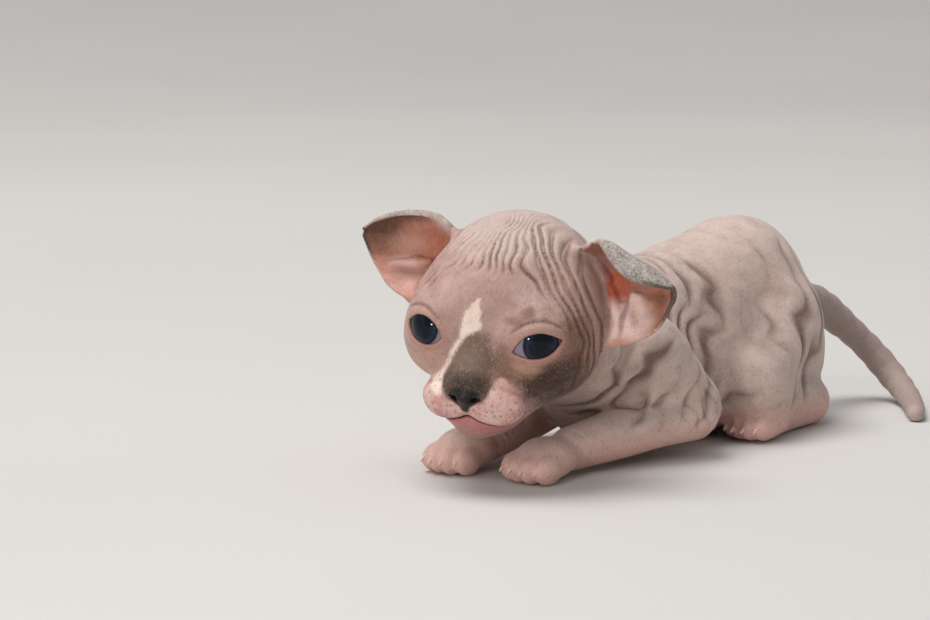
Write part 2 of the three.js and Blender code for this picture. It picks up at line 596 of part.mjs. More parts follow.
for (const [name, [from, to]] of Object.entries(BANDS)) {
  const band = slab([from + GAP / 2, -60, -5], [to - GAP / 2, 60, 80]);
  const skin = name === 'rump' ? trunkSkin.subtract(slice(tailCuts[0], -GAP / 2)) : trunkSkin;
  pieces[name] = taken.reduce((solid, other) => solid.subtract(other), skin.intersect(band));
}

// The kitten.
const finishes = {
  eye: { color: 0x1c2530, roughness: 0.08 },
  nose: { color: 0x2a1f1e, roughness: 0.35 },
  lower_jaw: { color: 0xc98f86, roughness: 0.5 },
  ear: { color: 0xb07a62, roughness: 0.6 },
  head: { color: 0xc0a396, roughness: 0.62 },
  body: { color: 0xb79a8e, roughness: 0.64 },
  paw: { color: 0xcaa398, roughness: 0.6 },
  tail: { color: 0x9d8478, roughness: 0.64 },
};
const finishOf = (name) => {
  const general = /paw|foot/.test(name) ? 'paw' : 'body';
  const kind = Object.keys(finishes).find((k) => name.startsWith(k)) ?? general;
  return new THREE.MeshStandardMaterial({ ...finishes[kind], metalness: 0 });
};
const kitten = new THREE.Group();
kitten.name = 'sphynx_kitten';
for (const [name, solid] of Object.entries(pieces)) {
  const mesh = new THREE.Mesh(geometryOf(largest(solid)), finishOf(name));
  mesh.name = name;
  kitten.add(mesh);
}

export default kitten;
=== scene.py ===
import math

import bmesh
import bpy
import numpy as np
import openvdb
from mathutils import Matrix, Vector
from mathutils.bvhtree import BVHTree


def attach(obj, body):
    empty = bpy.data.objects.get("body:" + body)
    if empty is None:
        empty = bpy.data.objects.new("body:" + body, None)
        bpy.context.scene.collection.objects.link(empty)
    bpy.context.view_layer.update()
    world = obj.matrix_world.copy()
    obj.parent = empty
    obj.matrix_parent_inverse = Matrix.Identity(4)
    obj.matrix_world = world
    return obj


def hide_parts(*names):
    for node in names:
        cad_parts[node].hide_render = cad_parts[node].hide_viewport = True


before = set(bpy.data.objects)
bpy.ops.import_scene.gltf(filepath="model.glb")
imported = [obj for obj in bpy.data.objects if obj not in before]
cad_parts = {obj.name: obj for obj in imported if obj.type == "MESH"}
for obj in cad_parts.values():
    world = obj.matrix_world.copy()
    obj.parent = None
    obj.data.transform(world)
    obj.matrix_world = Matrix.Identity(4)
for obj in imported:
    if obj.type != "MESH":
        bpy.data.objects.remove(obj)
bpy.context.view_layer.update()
print("frame loaded")


# Camera: the photo's angle and framing, aimed at the head's upper front.
cameraSetup = {"target": (-0.0858, -0.0213, 0.0459), "distance": 0.627, "azimuth": -50.0, "elevation": 8.0,
               "lens": 109.5, "sensor": 36.0, "clip": (0.02, 20.0)}


def addToScene(name, data):
    made = bpy.data.objects.new(name, data)
    bpy.context.scene.collection.objects.link(made)
    return made


def addShape(name, shape):
    mesh = bpy.data.meshes.new(name)
    shape.to_mesh(mesh)
    shape.free()
    return addToScene(name, mesh)


def aim(thing, place, direction):
    thing.location = place
    thing.rotation_mode = "QUATERNION"
    thing.rotation_quaternion = direction.to_track_quat("-Z", "Y")


def makeCamera(setup):
    azimuth, elevation = math.radians(setup["azimuth"]), math.radians(setup["elevation"])
    level = math.cos(elevation)
    back = Vector((math.sin(azimuth) * level, -math.cos(azimuth) * level, math.sin(elevation)))
    data = bpy.data.cameras.new("photo_view")
    data.lens, data.sensor_width = setup["lens"], setup["sensor"]
    data.clip_start, data.clip_end = setup["clip"]
    camera = addToScene("photo_view", data)
    aim(camera, Vector(setup["target"]) + back * setup["distance"], -back)
    bpy.context.scene.camera = camera


makeCamera(cameraSetup)
print("camera placed")


# Smooth forms as distance fields over arrays of points, in millimetres, negative inside.
def ball(p, centre, radius):
    return np.linalg.norm(p - np.float32(centre), axis=1) - radius


def egg(p, centre, radii, pitch=0.0):
    q = p - np.float32(centre)
    if pitch:
        cos, sin = math.cos(math.radians(pitch)), math.sin(math.radians(pitch))
        q = np.stack((q[:, 0] * cos - q[:, 2] * sin, q[:, 1], q[:, 0] * sin + q[:, 2] * cos), axis=1)
    q = q / np.float32(radii)
    near = np.linalg.norm(q, axis=1)
    slope = np.linalg.norm(q / np.float32(radii), axis=1)
    return near * (near - 1) / np.maximum(slope, 1e-6)


def limb(p, a, b, ra, rb):
    a, along = np.float32(a), np.float32(b) - np.float32(a)
    q = p - a
    t = np.clip(q @ along / (along @ along), 0, 1)
    return np.linalg.norm(q - t[:, None] * along, axis=1) - (ra + (rb - ra) * t)


def softMin(a, b, k):
    h = np.maximum(k - np.abs(a - b), 0) / k
    return np.minimum(a, b) - h * h * k * 0.25


def fuse(k, *distances):
    total = distances[0]
    for d in distances[1:]:
        total = softMin(total, d, k)
    return total


def carve(k, body, tool):
    return -softMin(-body, tool, k)


def smooth(edge0, edge1, x):
    t = np.clip((x - edge0) / (edge1 - edge0), 0, 1)
    return t * t * (3 - 2 * t)


def drift(p, size, seed, waves=6):
    # soft wandering value of about -1 to 1, from a few slanted waves
    rng = np.random.default_rng(seed)
    directions = rng.normal(size=(waves, 3))
    directions /= np.linalg.norm(directions, axis=1)[:, None]
    turns = directions * (2 * np.pi / size * rng.uniform(0.7, 1.4, (waves, 1)))
    phases = rng.uniform(0, 2 * np.pi, waves)
    total = np.zeros(len(p), np.float32)
    for turn, phase in zip(turns.astype(np.float32), phases):
        total += np.sin(p @ turn + np.float32(phase))
    return total / math.sqrt(waves / 2) / 1.4


def inBox(p, low, high):
    return np.all((p > np.float32(low)) & (p < np.float32(high)), axis=1)


def bothSides(p):
    # points brought over to the side where y is positive
    return np.stack((p[:, 0], np.abs(p[:, 1]), p[:, 2]), axis=1)


def inside(p, low, high, field, far=40.0):
    # a field worked out only in its own box
    there = inBox(p, low, high)
    total = np.full(len(p), far, np.float32)
    if there.any():
        total[there] = field(p[there])
    return total


# The head: x forward, y to the kitten's left, z up, in its own frame.
headShape = {
    "at": (-46.0, -3.0, 42.0), "heading": 16.8, "pitch": 13.9, "roll": -4.7,
    "eye": (16.0, 11.1, -1.0), "eyeTurn": 30.0, "lids": 8.25, "globe": 7.95,
    # each eye's opening, across outward and up: inner corner, the upper lid's two handles, outer corner,
    # the lower lid's two handles
    "opening": {1: [(-5.8, -1.0), (-3.4, 5.2), (2.0, 4.4), (5.7, 1.3), (3.2, -2.8), (-2.6, -2.9)],
                -1: [(-6.3, 0.2), (-4.6, 5.4), (0.8, 5.6), (3.7, 1.6), (2.6, -2.6), (-5.0, -3.6)]},
    "nose": (30.1, -11.2), "mouth": -17.1, "box": ((-34, -30, -36), (42, 30, 31)),
}


def turn(axis, degrees):
    return np.array(Matrix.Rotation(math.radians(degrees), 3, axis))


headTurn = turn("Z", 180 + headShape["heading"]) @ turn("Y", headShape["pitch"]) @ turn("X", headShape["roll"])


def toHead(p):
    return ((p - np.float32(headShape["at"])) @ headTurn.astype(np.float32)).astype(np.float32)


def fromHead(q):
    return np.asarray(q) @ headTurn.T + np.array(headShape["at"])


def eyeCentre(side):
    x, y, z = headShape["eye"]
    return np.array((x, y * side, z))


def headForm(q):
    m = bothSides(q)
    mirrored = np.stack((m[:, 0], -m[:, 1], m[:, 2]), axis=1)

    # a form and its mirror, softly joined across the middle
    def pair(k, shape, *args):
        return softMin(shape(m, *args), shape(mirrored, *args), k)

    skull = fuse(6,
        egg(q, (-2.5, 0, 2.1), (21.5, 20, 18.7)),
        egg(q, (8, 0, 4.6), (13.5, 15, 12.3)),
        pair(6, egg, (7.5, 9.5, -1), (14.6, 12, 11.5)),
        pair(6, egg, (10, 12.5, -6.5), (11.6, 9.8, 9)),
        pair(6, egg, (2, 13, -8), (13, 8.6, 11)))
    snout = fuse(3.5,
        limb(q, (12, 0, -3), (26.3, 0, -9.6), 9.2, 5.4),
        egg(q, (20, 0, -13.5), (10, 9.5, 7.5)),
        pair(1.2, egg, (25, 6, -14.4), (6.2, 6.6, 5.5)))
    jaw = fuse(4,
        egg(q, (19.5, 0, -19.8), (9, 7.4, 5.4), 8),
        pair(4, limb, (17, 5, -18), (1, 11.5, -13), 5.2, 7))
    lids = pair(0.5, ball, eyeCentre(1), headShape["lids"])
    return fuse(3.2, fuse(4.5, skull, snout), jaw, lids)


# The trunk and limbs, in the model's frame.
bodyShape = {
    "shoulder": (-9, 15.5, 26), "elbow": (3, 20, 13.5), "wrist": (-35, 11.5, 6), "reach": {-1: 0, 1: -3},
    "hip": (50, 11, 27.5), "knee": (31, 17.5, 16), "hock": (58.5, 17.5, 6.6), "toes": (29.5, 20, 4.3),
    "tailLine": [(64, 0, 32), (78, -0.5, 30), (89, -2.3, 26), (97, -5.5, 20), (102.5, -10.5, 12.8),
                 (103, -17.2, 6.2), (98.5, -24.2, 2.8), (90, -31, 2.1), (80, -38, 1.7)],
    "tailRoot": 5.6, "tailTip": 2.1, "tailSteps": 16,
}

# Rows of toes: how far ahead of the paw's middle, spacing, radii, height, and each claw's root from its toe.
toeRows = {
    "fore": {"ahead": 7.2, "gap": 3.4, "radii": (4.3, 2.3, 3.4), "height": 3.3, "claw": (-3.7, 0, 0.3)},
    "hind": {"ahead": 2.6, "gap": 3.0, "radii": (4.2, 2.05, 3.1), "height": 3.4, "claw": (-3.6, 0, 0)},
    "curve": 1.3,
}


def trunkForm(p):
    trunk = fuse(9,
        egg(p, (0, 0, 21.6), (25, 18.5, 22.3)),
        limb(p, (2, 0, 34.5), (44, 0, 37.5), 11.5, 14.5),
        egg(p, (28, 0, 22.7), (27, 21, 23.4)),
        egg(p, (51.5, 0, 30.5), (20.5, 18.5, 23)),
        egg(p, (56.5, 9.5, 18), (14.5, 11, 16)),
        egg(p, (56.5, -9.5, 18), (14.5, 11, 16)))
    neck = fuse(8,
        limb(p, (-6, 0, 27), (-32, -2, 36), 15.5, 14.5),
        egg(p, (-26, -1, 24), (15, 13, 9), 20))
    return fuse(7, trunk, neck)


def onSide(side, point):
    return (point[0], point[1] * side, point[2])


def wristPlace(side):
    x, y, z = bodyShape["wrist"]
    return (x + bodyShape["reach"][side], y * side, z)


def pawMiddle(side, row):
    if row == "hind":
        return onSide(side, bodyShape["toes"])
    x, y, z = wristPlace(side)
    return (x - 9, y - 0.5 * side, 4.9)


def toePlaces(side, row):
    x, y, z = pawMiddle(side, row)
    s = toeRows[row]
    return [(x - s["ahead"] + abs(i) * toeRows["curve"], y + i * s["gap"], s["height"])
            for i in (-1.5, -0.5, 0.5, 1.5)]


def toeForms(p, side, row):
    return [egg(p, place, toeRows[row]["radii"]) for place in toePlaces(side, row)]


def foreleg(p, side):
    elbow = onSide(side, bodyShape["elbow"])
    upper = limb(p, onSide(side, bodyShape["shoulder"]), elbow, 9.6, 7)
    lower = limb(p, (elbow[0] - 0.5, elbow[1], elbow[2] - 2.8), wristPlace(side), 6.9, 5.3)
    paw = egg(p, pawMiddle(side, "fore"), (8, 6.9, 5.3))
    return fuse(2.5, upper, lower, fuse(1.2, paw, *toeForms(p, side, "fore")))


def hindLeg(p, side):
    hip, knee, hock, toes = (onSide(side, bodyShape[name]) for name in ("hip", "knee", "hock", "toes"))
    thigh = limb(p, hip, knee, 13, 9.6)
    shank = limb(p, (knee[0] + 1, knee[1] + side, knee[2] - 3), hock, 8, 5.6)
    foot = fuse(1.6,
        limb(p, (hock[0] + 1, hock[1], 5), (toes[0] + 4, toes[1], toes[2]), 4.9, 4.9),
        egg(p, (toes[0] + 4, toes[1], 4.2), (7, 6.4, 4.7)), *toeForms(p, side, "hind"))
    return thigh, fuse(3, thigh, shank, foot)


def curvePoints(corners, count, even=True):
    # a centripetal curve through the corners, as count + 1 points, evenly spaced or as the corners fall
    c = np.array(corners, float)
    c = np.vstack((2 * c[0] - c[1], c, 2 * c[-1] - c[-2]))

    def at(t):
        i = min(int(t), len(corners) - 2)
        p0, p1, p2, p3 = c[i:i + 4]
        k0, k1, k2 = (math.sqrt(np.linalg.norm(b - a)) for a, b in ((p0, p1), (p1, p2), (p2, p3)))
        m1 = k1 * ((p1 - p0) / k0 - (p2 - p0) / (k0 + k1) + (p2 - p1) / k1)
        m2 = k1 * ((p2 - p1) / k1 - (p3 - p1) / (k1 + k2) + (p3 - p2) / k2)
        s = t - i
        return ((2 * s**3 - 3 * s**2 + 1) * p1 + (s**3 - 2 * s**2 + s) * m1
                + (3 * s**2 - 2 * s**3) * p2 + (s**3 - s**2) * m2)

    spans = len(corners) - 1
    if not even:
        return np.array([at(spans * i / count) for i in range(count + 1)])
    fine = np.array([at(spans * i / 400) for i in range(401)])
    walked = np.concatenate(([0], np.cumsum(np.linalg.norm(np.diff(fine, axis=0), axis=1))))
    wanted = np.linspace(0, walked[-1], count + 1)
    return np.stack([np.interp(wanted, walked, fine[:, n]) for n in range(3)], axis=1)


tailPoints = curvePoints(bodyShape["tailLine"], bodyShape["tailSteps"])
tailRadii = [bodyShape["tailRoot"] + (bodyShape["tailTip"] - bodyShape["tailRoot"]) * share ** 0.9
             for share in (i / bodyShape["tailSteps"] for i in range(bodyShape["tailSteps"] + 1))]


def tailForm(p):
    ends = list(zip(tailPoints, tailRadii))
    return fuse(1, *[limb(p, a, b, ra, rb) for (a, ra), (b, rb) in zip(ends, ends[1:])])


def bodyForm(p):
    thighs, legs = [], []
    total = inside(p, (-70, -45, -8), (100, 45, 75), trunkForm)
    for side in (-1, 1):
        low, high = ((10, -48, -10), (90, 6, 60)) if side < 0 else ((10, -6, -10), (90, 48, 60))
        thighs.append(inside(p, low, high, lambda r: hindLeg(r, side)[0]))
        legs.append(inside(p, low, high, lambda r: hindLeg(r, side)[1]))
        low, high = ((-90, -46, -10), (30, 6, 50)) if side < 0 else ((-90, -6, -10), (30, 46, 50))
        legs.append(inside(p, low, high, lambda r: foreleg(r, side)))
    tail = inside(p, (52, -52, -8), (118, 12, 48), tailForm)
    return fuse(3, fuse(4.5, total, *thighs, tail), *legs)


# Ears: each a cupped sheet between a lower and an upper margin, its upper edge turned forward.
earShape = {
    "wall": 1.3, "rows": 40, "columns": 44, "root": 2.4,
    -1: {"upper": [(-1, -13, 13), (-3.5, -21, 18.4), (-4, -30, 17.9), (-4, -36.5, 15), (-4, -40.4, 11.8)],
         "lower": [(6, -18, -5), (4.5, -24, -1.8), (2, -30.4, 0.2), (-1.5, -36.5, 4.6), (-4, -40.6, 10)],
         "cup": 10, "flap": 1.2, "foldFrom": -0.1, "low": (-20, -45, -10), "high": (12, -10, 25),
         "lumps": [((0.4, -31.4, 1.7), (-1.9, -24.5, 1.5), 0.9, 1.2),
                   ((-2.7, -32.0, 4.6), (-4.6, -27.0, 4.6), 0.5, 0.9),
                   ((-4.6, -27.0, 4.6), (-4.4, -23.5, 5.4), 0.9, 0.9),
                   ((0.0, -25.6, 0.4), (3.2, -24.6, -1.2), 1.1, 1.1)]},
    1: {"upper": [(-1, 13, 13), (-3.5, 21.5, 17), (-4.5, 28, 14.6), (-4.5, 33.6, 11.6), (-3.8, 38.2, 7.2)],
        "lower": [(6, 18, -7), (3.5, 24.5, -6.6), (1.5, 30.2, -5.2), (-0.8, 35.4, -2.2), (-3.3, 38.3, 3.6)],
        "cup": 10, "flap": 5.2, "foldFrom": 0.22, "low": (-20, 10, -12), "high": (13, 43, 25),
        "lumps": [((-6.6, 27.8, 2.8), (-6.4, 28.9, 3.0), 1.1, 0.9),
                  ((-6.2, 28.2, 1.0), (-6.4, 31.4, 1.6), 1.0, 0.7),
                  ((-6.8, 21.4, 2.6), (-2.4, 25.4, -2.2), 1.7, 1.5),
                  ((-5.4, 26.6, 0.0), (-1.6, 28.6, -3.2), 1.1, 1.0),
                  ((-6.6, 18.4, 8.8), (-7.2, 20.6, 6.0), 1.4, 1.2)]},
}


def earSheet(side):
    s, rows, columns = earShape[side], earShape["rows"], earShape["columns"]
    bottom, top = (curvePoints(s[name], rows, even=False) for name in ("lower", "upper"))
    points = np.zeros((rows + 1, columns + 1, 3))
    for j in range(rows + 1):
        v = j / rows
        for i in range(columns + 1):
            u = i / columns
            over = max(0, (u - 0.78) / 0.22)
            rise = min(1, u / 0.86)
            depth = s["cup"] * (1 - v) ** 0.75 + 1.2
            p = bottom[j] + (top[j] - bottom[j]) * (rise - 0.06 * math.sin(math.pi * rise))
            p[0] -= depth * math.sin(math.pi * min(rise, 0.9999)) ** 0.8
            folded = max(0, (v - s["foldFrom"]) / (1 - s["foldFrom"])) ** 0.8
            fold = s["flap"] * math.sin(math.pi * folded) * over
            points[j, i] = p + (0.95 * fold, 0, -0.85 * fold * over)
    faces = [(a, a + 1, a + columns + 2, a + columns + 1)
             for j in range(rows) for a in range(j * (columns + 1), j * (columns + 1) + columns)]
    vertices = [Vector(p) for p in points.reshape(-1, 3)]
    return points, BVHTree.FromPolygons(vertices, faces)


earSheets = {side: earSheet(side) for side in (-1, 1)}


def nearEar(q, side, reach):
    # distance to the ear's middle sheet, place across and along it, and which side of it each point is
    columns = earShape["columns"]
    find = earSheets[side][1].find_nearest
    found = np.zeros((len(q), 4), np.float32)
    found[:, 0] = reach
    for n, point in enumerate(q.tolist()):
        place, normal, face, distance = find(point, reach)
        if face is not None:
            row, column = divmod(face, columns)
            front = sum((point[n] - place[n]) * normal[n] for n in range(3))
            found[n] = distance, (column + 0.5) / columns, (row + 0.5) / earShape["rows"], -side * front
    return found


def earForm(q, side):
    found = nearEar(q, side, 8.0)
    u, v = found[:, 1], found[:, 2]
    wall = earShape["wall"] * (1 - 0.25 * v) * (1 - 0.35 * np.abs(2 * u - 1) ** 6)
    return found[:, 0] - wall / 2


# Lids, nose and mouth, in the head's frame.
def bezier(a, b, c, d, count=14):
    t = np.linspace(0, 1, count)[:, None]
    a, b, c, d = (np.array(x, float) for x in (a, b, c, d))
    return (1 - t) ** 3 * a + 3 * (1 - t) ** 2 * t * b + 3 * (1 - t) * t**2 * c + t**3 * d


def lidOutline(side):
    inner, overIn, overOut, outer, underOut, underIn = headShape["opening"][side]
    over = bezier(inner, overIn, overOut, outer)
    under = bezier(outer, underOut, underIn, inner)
    return np.vstack((over, under[1:-1]))


def outlineDistance(points, outline):
    # signed distance to a closed flat outline, negative inside
    best = np.full(len(points), 1e9)
    odd = np.zeros(len(points), bool)
    for a, b in zip(outline, np.roll(outline, -1, axis=0)):
        along = b - a
        q = points - a
        t = np.clip(q @ along / (along @ along), 0, 1)
        best = np.minimum(best, np.linalg.norm(q - t[:, None] * along, axis=1))
        crosses = (a[1] > points[:, 1]) != (b[1] > points[:, 1])
        if along[1]:
            odd ^= crosses & (q[:, 0] < along[0] * q[:, 1] / along[1])
    return np.where(odd, -best, best).astype(np.float32)


lidOutlines = {side: lidOutline(side) for side in (-1, 1)}


def eyeFrame(q, side):
    # across the eye outward, upward, and out of the face, from the middle of the eye
    cos, sin = math.cos(math.radians(headShape["eyeTurn"])), math.sin(math.radians(headShape["eyeTurn"]))
    d = q - np.float32(eyeCentre(side))
    lateral = d[:, 1] * side
    return -sin * d[:, 0] + cos * lateral, d[:, 2], cos * d[:, 0] + sin * lateral


def lidForm(q, side):
    across, up, out = eyeFrame(q, side)
    flat = outlineDistance(np.stack((across, up), axis=1), lidOutlines[side])
    return np.maximum(flat, 1.5 - out)


def noseForm(q):
    x, z = headShape["nose"]
    m = bothSides(q)
    return fuse(1.0,
        egg(q, (x, 0, z), (2.6, 2.9, 2.0)),
        limb(m, (x - 0.2, 1.8, z - 0.2), (x - 1.6, 4.5, z + 0.7), 1.6, 0.8),
        limb(q, (x + 0.5, 0, z - 0.6), (x + 0.2, 0, z - 3.2), 2.1, 0.75))


def nostrilForm(q):
    x, z = headShape["nose"]
    m = bothSides(q)
    hole = limb(m, (x + 2.4, 2.0, z - 0.9), (x - 0.6, 2.6, z - 0.3), 0.7, 0.55)
    wing = limb(m, (x + 1.4, 2.3, z - 1.0), (x - 0.4, 5.0, z - 0.1), 0.42, 0.28)
    return fuse(0.4, hole, wing)


lipLine = np.array([(0, 0), (1.2, -0.45), (2.8, -1.25), (5.4, -2.1), (8, -2.5), (10.4, -2.15), (12.8, -1.2),
                    (22, 1.8)])


def lipHeight(y):
    return headShape["mouth"] + np.interp(np.abs(y), lipLine[:, 0], lipLine[:, 1])


def mouthForm(q):
    # the slit between the lips, deepest in front and closing at the corners
    slope = 0.55 * np.exp(-(np.abs(q[:, 1]) / 3.0) ** 2)
    aside = np.abs(q[:, 1])
    gap = np.abs(q[:, 2] - lipHeight(q[:, 1])) / np.sqrt(1 + slope) - 0.16 * (1 - smooth(9, 12.5, aside))
    return np.maximum.reduce((gap, 18.5 - q[:, 0], aside - 10.4))


def philtrumForm(q):
    x, z = headShape["nose"]
    return limb(q, (x + 1.6, 0, z - 3.8), (x + 0.9, 0, headShape["mouth"] + 0.3), 0.2, 0.32)


def faceForm(q):
    total = inside(q, *headShape["box"], headForm)
    for side in (-1, 1):
        s = earShape[side]
        total = softMin(total, inside(q, s["low"], s["high"], lambda r: earForm(r, side), 8.0),
                        earShape["root"])
        for start, end, ra, rb in s["lumps"]:
            low, high = np.minimum(start, end) - 4, np.maximum(start, end) + 4
            total = softMin(total, inside(q, low, high, lambda r: limb(r, start, end, ra, rb), 8.0), 1.8)
    return total


def faceCuts(q, total):
    near = inBox(q, (10, -22, -26), (36, 22, 14))
    r = q[near]
    if not len(r):
        return total
    d = softMin(total[near], noseForm(r), 0.9)
    d = carve(0.5, d, nostrilForm(r))
    d = carve(0.7, d, philtrumForm(r))
    d = carve(0.9, d, mouthForm(r))
    for side in (-1, 1):
        d = carve(0.5, d, lidForm(r, side))
    total = total.copy()
    total[near] = d
    return total


# Loose skin: thick rolls behind the cheek and over the shoulder, as runs of points with their radius.
skinRolls = [
    [(-19.5, -15.4, 31.5, 1.6), (-25.0, -15.4, 28.0, 2.4), (-30.5, -14.6, 25.4, 2.1),
     (-35.5, -14.6, 24.4, 0.8)],
    [(-12.0, -19.6, 29.5, 1.4), (-17.0, -18.6, 25.5, 2.0), (-22.5, -16.2, 22.0, 1.6),
     (-26.5, -13.8, 20.0, 0.6)],
    [(-4.5, -22.2, 28.5, 1.3), (-9.5, -22.4, 22.0, 2.0), (-15.5, -20.4, 16.0, 1.5)],
    [(-20.5, 14.4, 30.5, 1.2), (-25.5, 13.6, 27.0, 1.8), (-30.5, 11.4, 24.5, 0.6)],
    [(-10.0, 18.2, 30.0, 1.2), (-15.5, 17.4, 25.0, 1.8), (-21.0, 14.8, 21.5, 0.6)],
]


def rollForm(p):
    total = np.full(len(p), 12.0, np.float32)
    for roll in skinRolls:
        for a, b in zip(roll, roll[1:]):
            total = softMin(total, limb(p, a[:3], b[:3], a[3], b[3]), 1.2)
    return total


def skinField(p):
    q = toHead(p)
    total = softMin(bodyForm(p), faceForm(q), 5)
    total = softMin(total, inside(p, (-46, -30, 10), (4, 26, 56), rollForm, 12.0), 2.6)
    total = faceCuts(q, total)
    return np.maximum(total, -p[:, 2]).astype(np.float32)


# Wrinkles and folds pressed into the skin, in millimetres along its normal.
reliefShape = {
    "depth": 0.92, "sharp": 0.62, "wander": 0.3, "leftShare": 0.62,
    # lines that the wrinkles of the brow and temple follow, by their number from the middle of the forehead
    "lines": {
        0.0: [(4.0, 0.0, 20.1), (14.0, 0.0, 17.2), (18.0, 0.0, 13.0), (22.0, 0.0, 5.0)],
        1.2: [(2.4, 1.3, 20.2), (16.4, 2.2, 15.0)],
        1.9: [(16.3, 3.6, 14.7)],
        2.7: [(15.3, 5.3, 15.0), (2.6, 2.9, 20.2)],
        3.4: [(2.7, 3.6, 20.1), (12.6, 6.4, 16.2), (16.3, 11.4, 11.0), (18.6, 13.8, 7.6)],
        4.4: [(2.1, 4.4, 19.9), (9.6, 8.3, 16.9), (15.5, 12.6, 10.9), (16.2, 17.0, 6.6)],
        5.7: [(-0.5, 5.6, 19.7), (11.9, 14.3, 11.8), (13.7, 19.6, 4.4), (12.9, 22.2, -1.8), (12.5, 21.0, -9.0)],
        7.6: [(0.6, 12.1, 16.7), (7.3, 17.7, 9.5), (9.6, 22.2, 1.0), (8.6, 22.4, -5.0), (7.5, 20.6, -11.0)],
        9.0: [(3.2, 17.8, 10.6), (5.0, 21.6, 3.4), (1.9, 22.8, -1.9), (1.5, 21.6, -8.0), (0.5, 19.4, -14.0)],
    },
    "neckSpacing": 6.5, "neckDepth": 0.8, "flankSpacing": 10.0, "flankDepth": 0.9,
    "ringSpacing": 2.6, "ringDepth": 0.24,
    "padEdge": [(29.0, 5.6, -8.6), (27.4, 10.2, -10.2), (23.0, 13.2, -14.8), (20.5, 13.2, -18.0)],
}


def lineGuide():
    # smooth numbering of the wrinkles between the guide lines, the same on both sides of the face
    points, numbers = [], []
    for number, line in reliefShape["lines"].items():
        for x, y, z in line:
            points.append((x, y, z))
            numbers.append(number)
            if y:
                points.append((x, -y, z))
                numbers.append(-number)
    points, numbers = np.array(points), np.array(numbers)
    apart = np.linalg.norm(points[:, None] - points[None], axis=2)
    flat = np.hstack((np.ones((len(points), 1)), points))
    system = np.block([[apart, flat], [flat.T, np.zeros((4, 4))]])
    weights = np.linalg.solve(system, np.concatenate((numbers, np.zeros(4))))
    return points.astype(np.float32), weights.astype(np.float32)


guidePoints, guideWeights = lineGuide()


def lineNumber(q):
    total = guideWeights[-4] + q @ guideWeights[-3:]
    for point, weight in zip(guidePoints, guideWeights):
        total = total + weight * np.linalg.norm(q - point, axis=1)
    return total


def furrow(phase, sharp=0.6):
    # 0 on the ridges, 1 in the narrow valleys
    return 1 - np.abs(np.sin(np.pi * phase)) ** sharp


def headWrinkles(q):
    s = reliefShape
    number = lineNumber(q)
    size = np.abs(number)
    calm = smooth(7.5, 4, size)
    wave = drift(q, 9.0, 11) * s["wander"] * (0.45 + 0.55 * calm) + drift(q, 4.2, 12) * 0.06 * calm
    sideways = smooth(2.9, 3.5, size + 0.6 * wave)
    top = smooth(12.6, 15.2, q[:, 2] + 0.8 * wave)
    strength = np.maximum(sideways, top) * smooth(11.0, 9.4, size)
    strength *= 1 - smooth(14.0, 17.5, q[:, 0]) * smooth(9.5, 5.0, q[:, 2])
    strength *= smooth(-8, 3, q[:, 0]) * smooth(-19, -11, q[:, 2])
    strength *= np.where(number > -1, 1.0, s["leftShare"])
    uneven = 0.86 + 0.26 * drift(q, 11.0, 13) + 0.14 * np.sin(number * 2.3 + 1)
    strength *= uneven + 0.35 * smooth(3.5, 6.0, number)
    fold = furrow(number + wave, s["sharp"]) * np.clip(strength, 0, 1.35)
    lidCrease = np.zeros(len(q), np.float32)
    for side in (-1, 1):
        across, up, out = eyeFrame(q, side)
        there = (out > 2) & (np.abs(across) < 7.5)
        height = up - (6.2 - 0.07 * (across - 0.2) ** 2)
        lidCrease += np.exp(-(height / 0.55) ** 2) * there * smooth(7.2, 4.6, np.abs(across)) * 0.8
        bag = up + (4.6 - 0.06 * (across - 1.0) ** 2)
        lidCrease += np.exp(-(bag / 0.8) ** 2) * there * smooth(6.5, 3.5, np.abs(across)) * 0.35
    # the edge of each whisker pad, from beside the nose round to the cheek
    m = bothSides(q)
    edge = fuse(0.6, *[limb(m, a, b, 0, 0) for a, b in zip(s["padEdge"], s["padEdge"][1:])])
    lidCrease += np.exp(-(edge / 0.95) ** 2) * 0.55
    return fold, lidCrease


def bodyFolds(p, q):
    s = reliefShape
    wave = drift(p, 22.0, 21) * 2.0 + drift(p, 9.0, 22) * 0.8
    behind = smooth(-4, -14, q[:, 0]) * smooth(22, 8, p[:, 0])
    neckLine = (0.86 * p[:, 0] - 0.5 * p[:, 2] + wave) / s["neckSpacing"]
    onEar = smooth(20.0, 22.5, np.abs(q[:, 1])) * smooth(-18, -15, q[:, 0]) * smooth(-13, -9, q[:, 2])
    neck = furrow(neckLine, 0.9) * behind * smooth(4, 16, p[:, 2])
    neck = neck * (0.75 + 0.5 * drift(p, 18.0, 23)) * (1 - onEar)
    flankLine = (p[:, 0] - 0.22 * p[:, 2] + 1.6 * wave) / s["flankSpacing"]
    along = smooth(4, 16, p[:, 0]) * smooth(74, 58, p[:, 0])
    flank = furrow(flankLine, 1.0) * along * smooth(7, 14, np.abs(p[:, 1])) * smooth(4, 12, p[:, 2])
    flank *= 0.7 + 0.6 * drift(p, 26.0, 24)
    rings = np.zeros(len(p), np.float32)
    for side in (-1, 1):
        for centre, size in ((wristPlace(side), 9.0), ((3.0, 22.0 * side, 12.0), 12.0),
                             ((58.0, 18.0 * side, 7.0), 10.0)):
            rings += smooth(size, size * 0.4, np.linalg.norm(p - np.float32(centre), axis=1))
    rings += smooth(74, 82, p[:, 0]) * 0.3
    ringLine = (p[:, 0] * 0.9 + p[:, 1] * 0.15 + 0.35 * p[:, 2] + 0.5 * drift(p, 6.0, 25)) / s["ringSpacing"]
    ring = furrow(ringLine, 0.8) * np.clip(rings, 0, 1)
    return neck, flank, ring


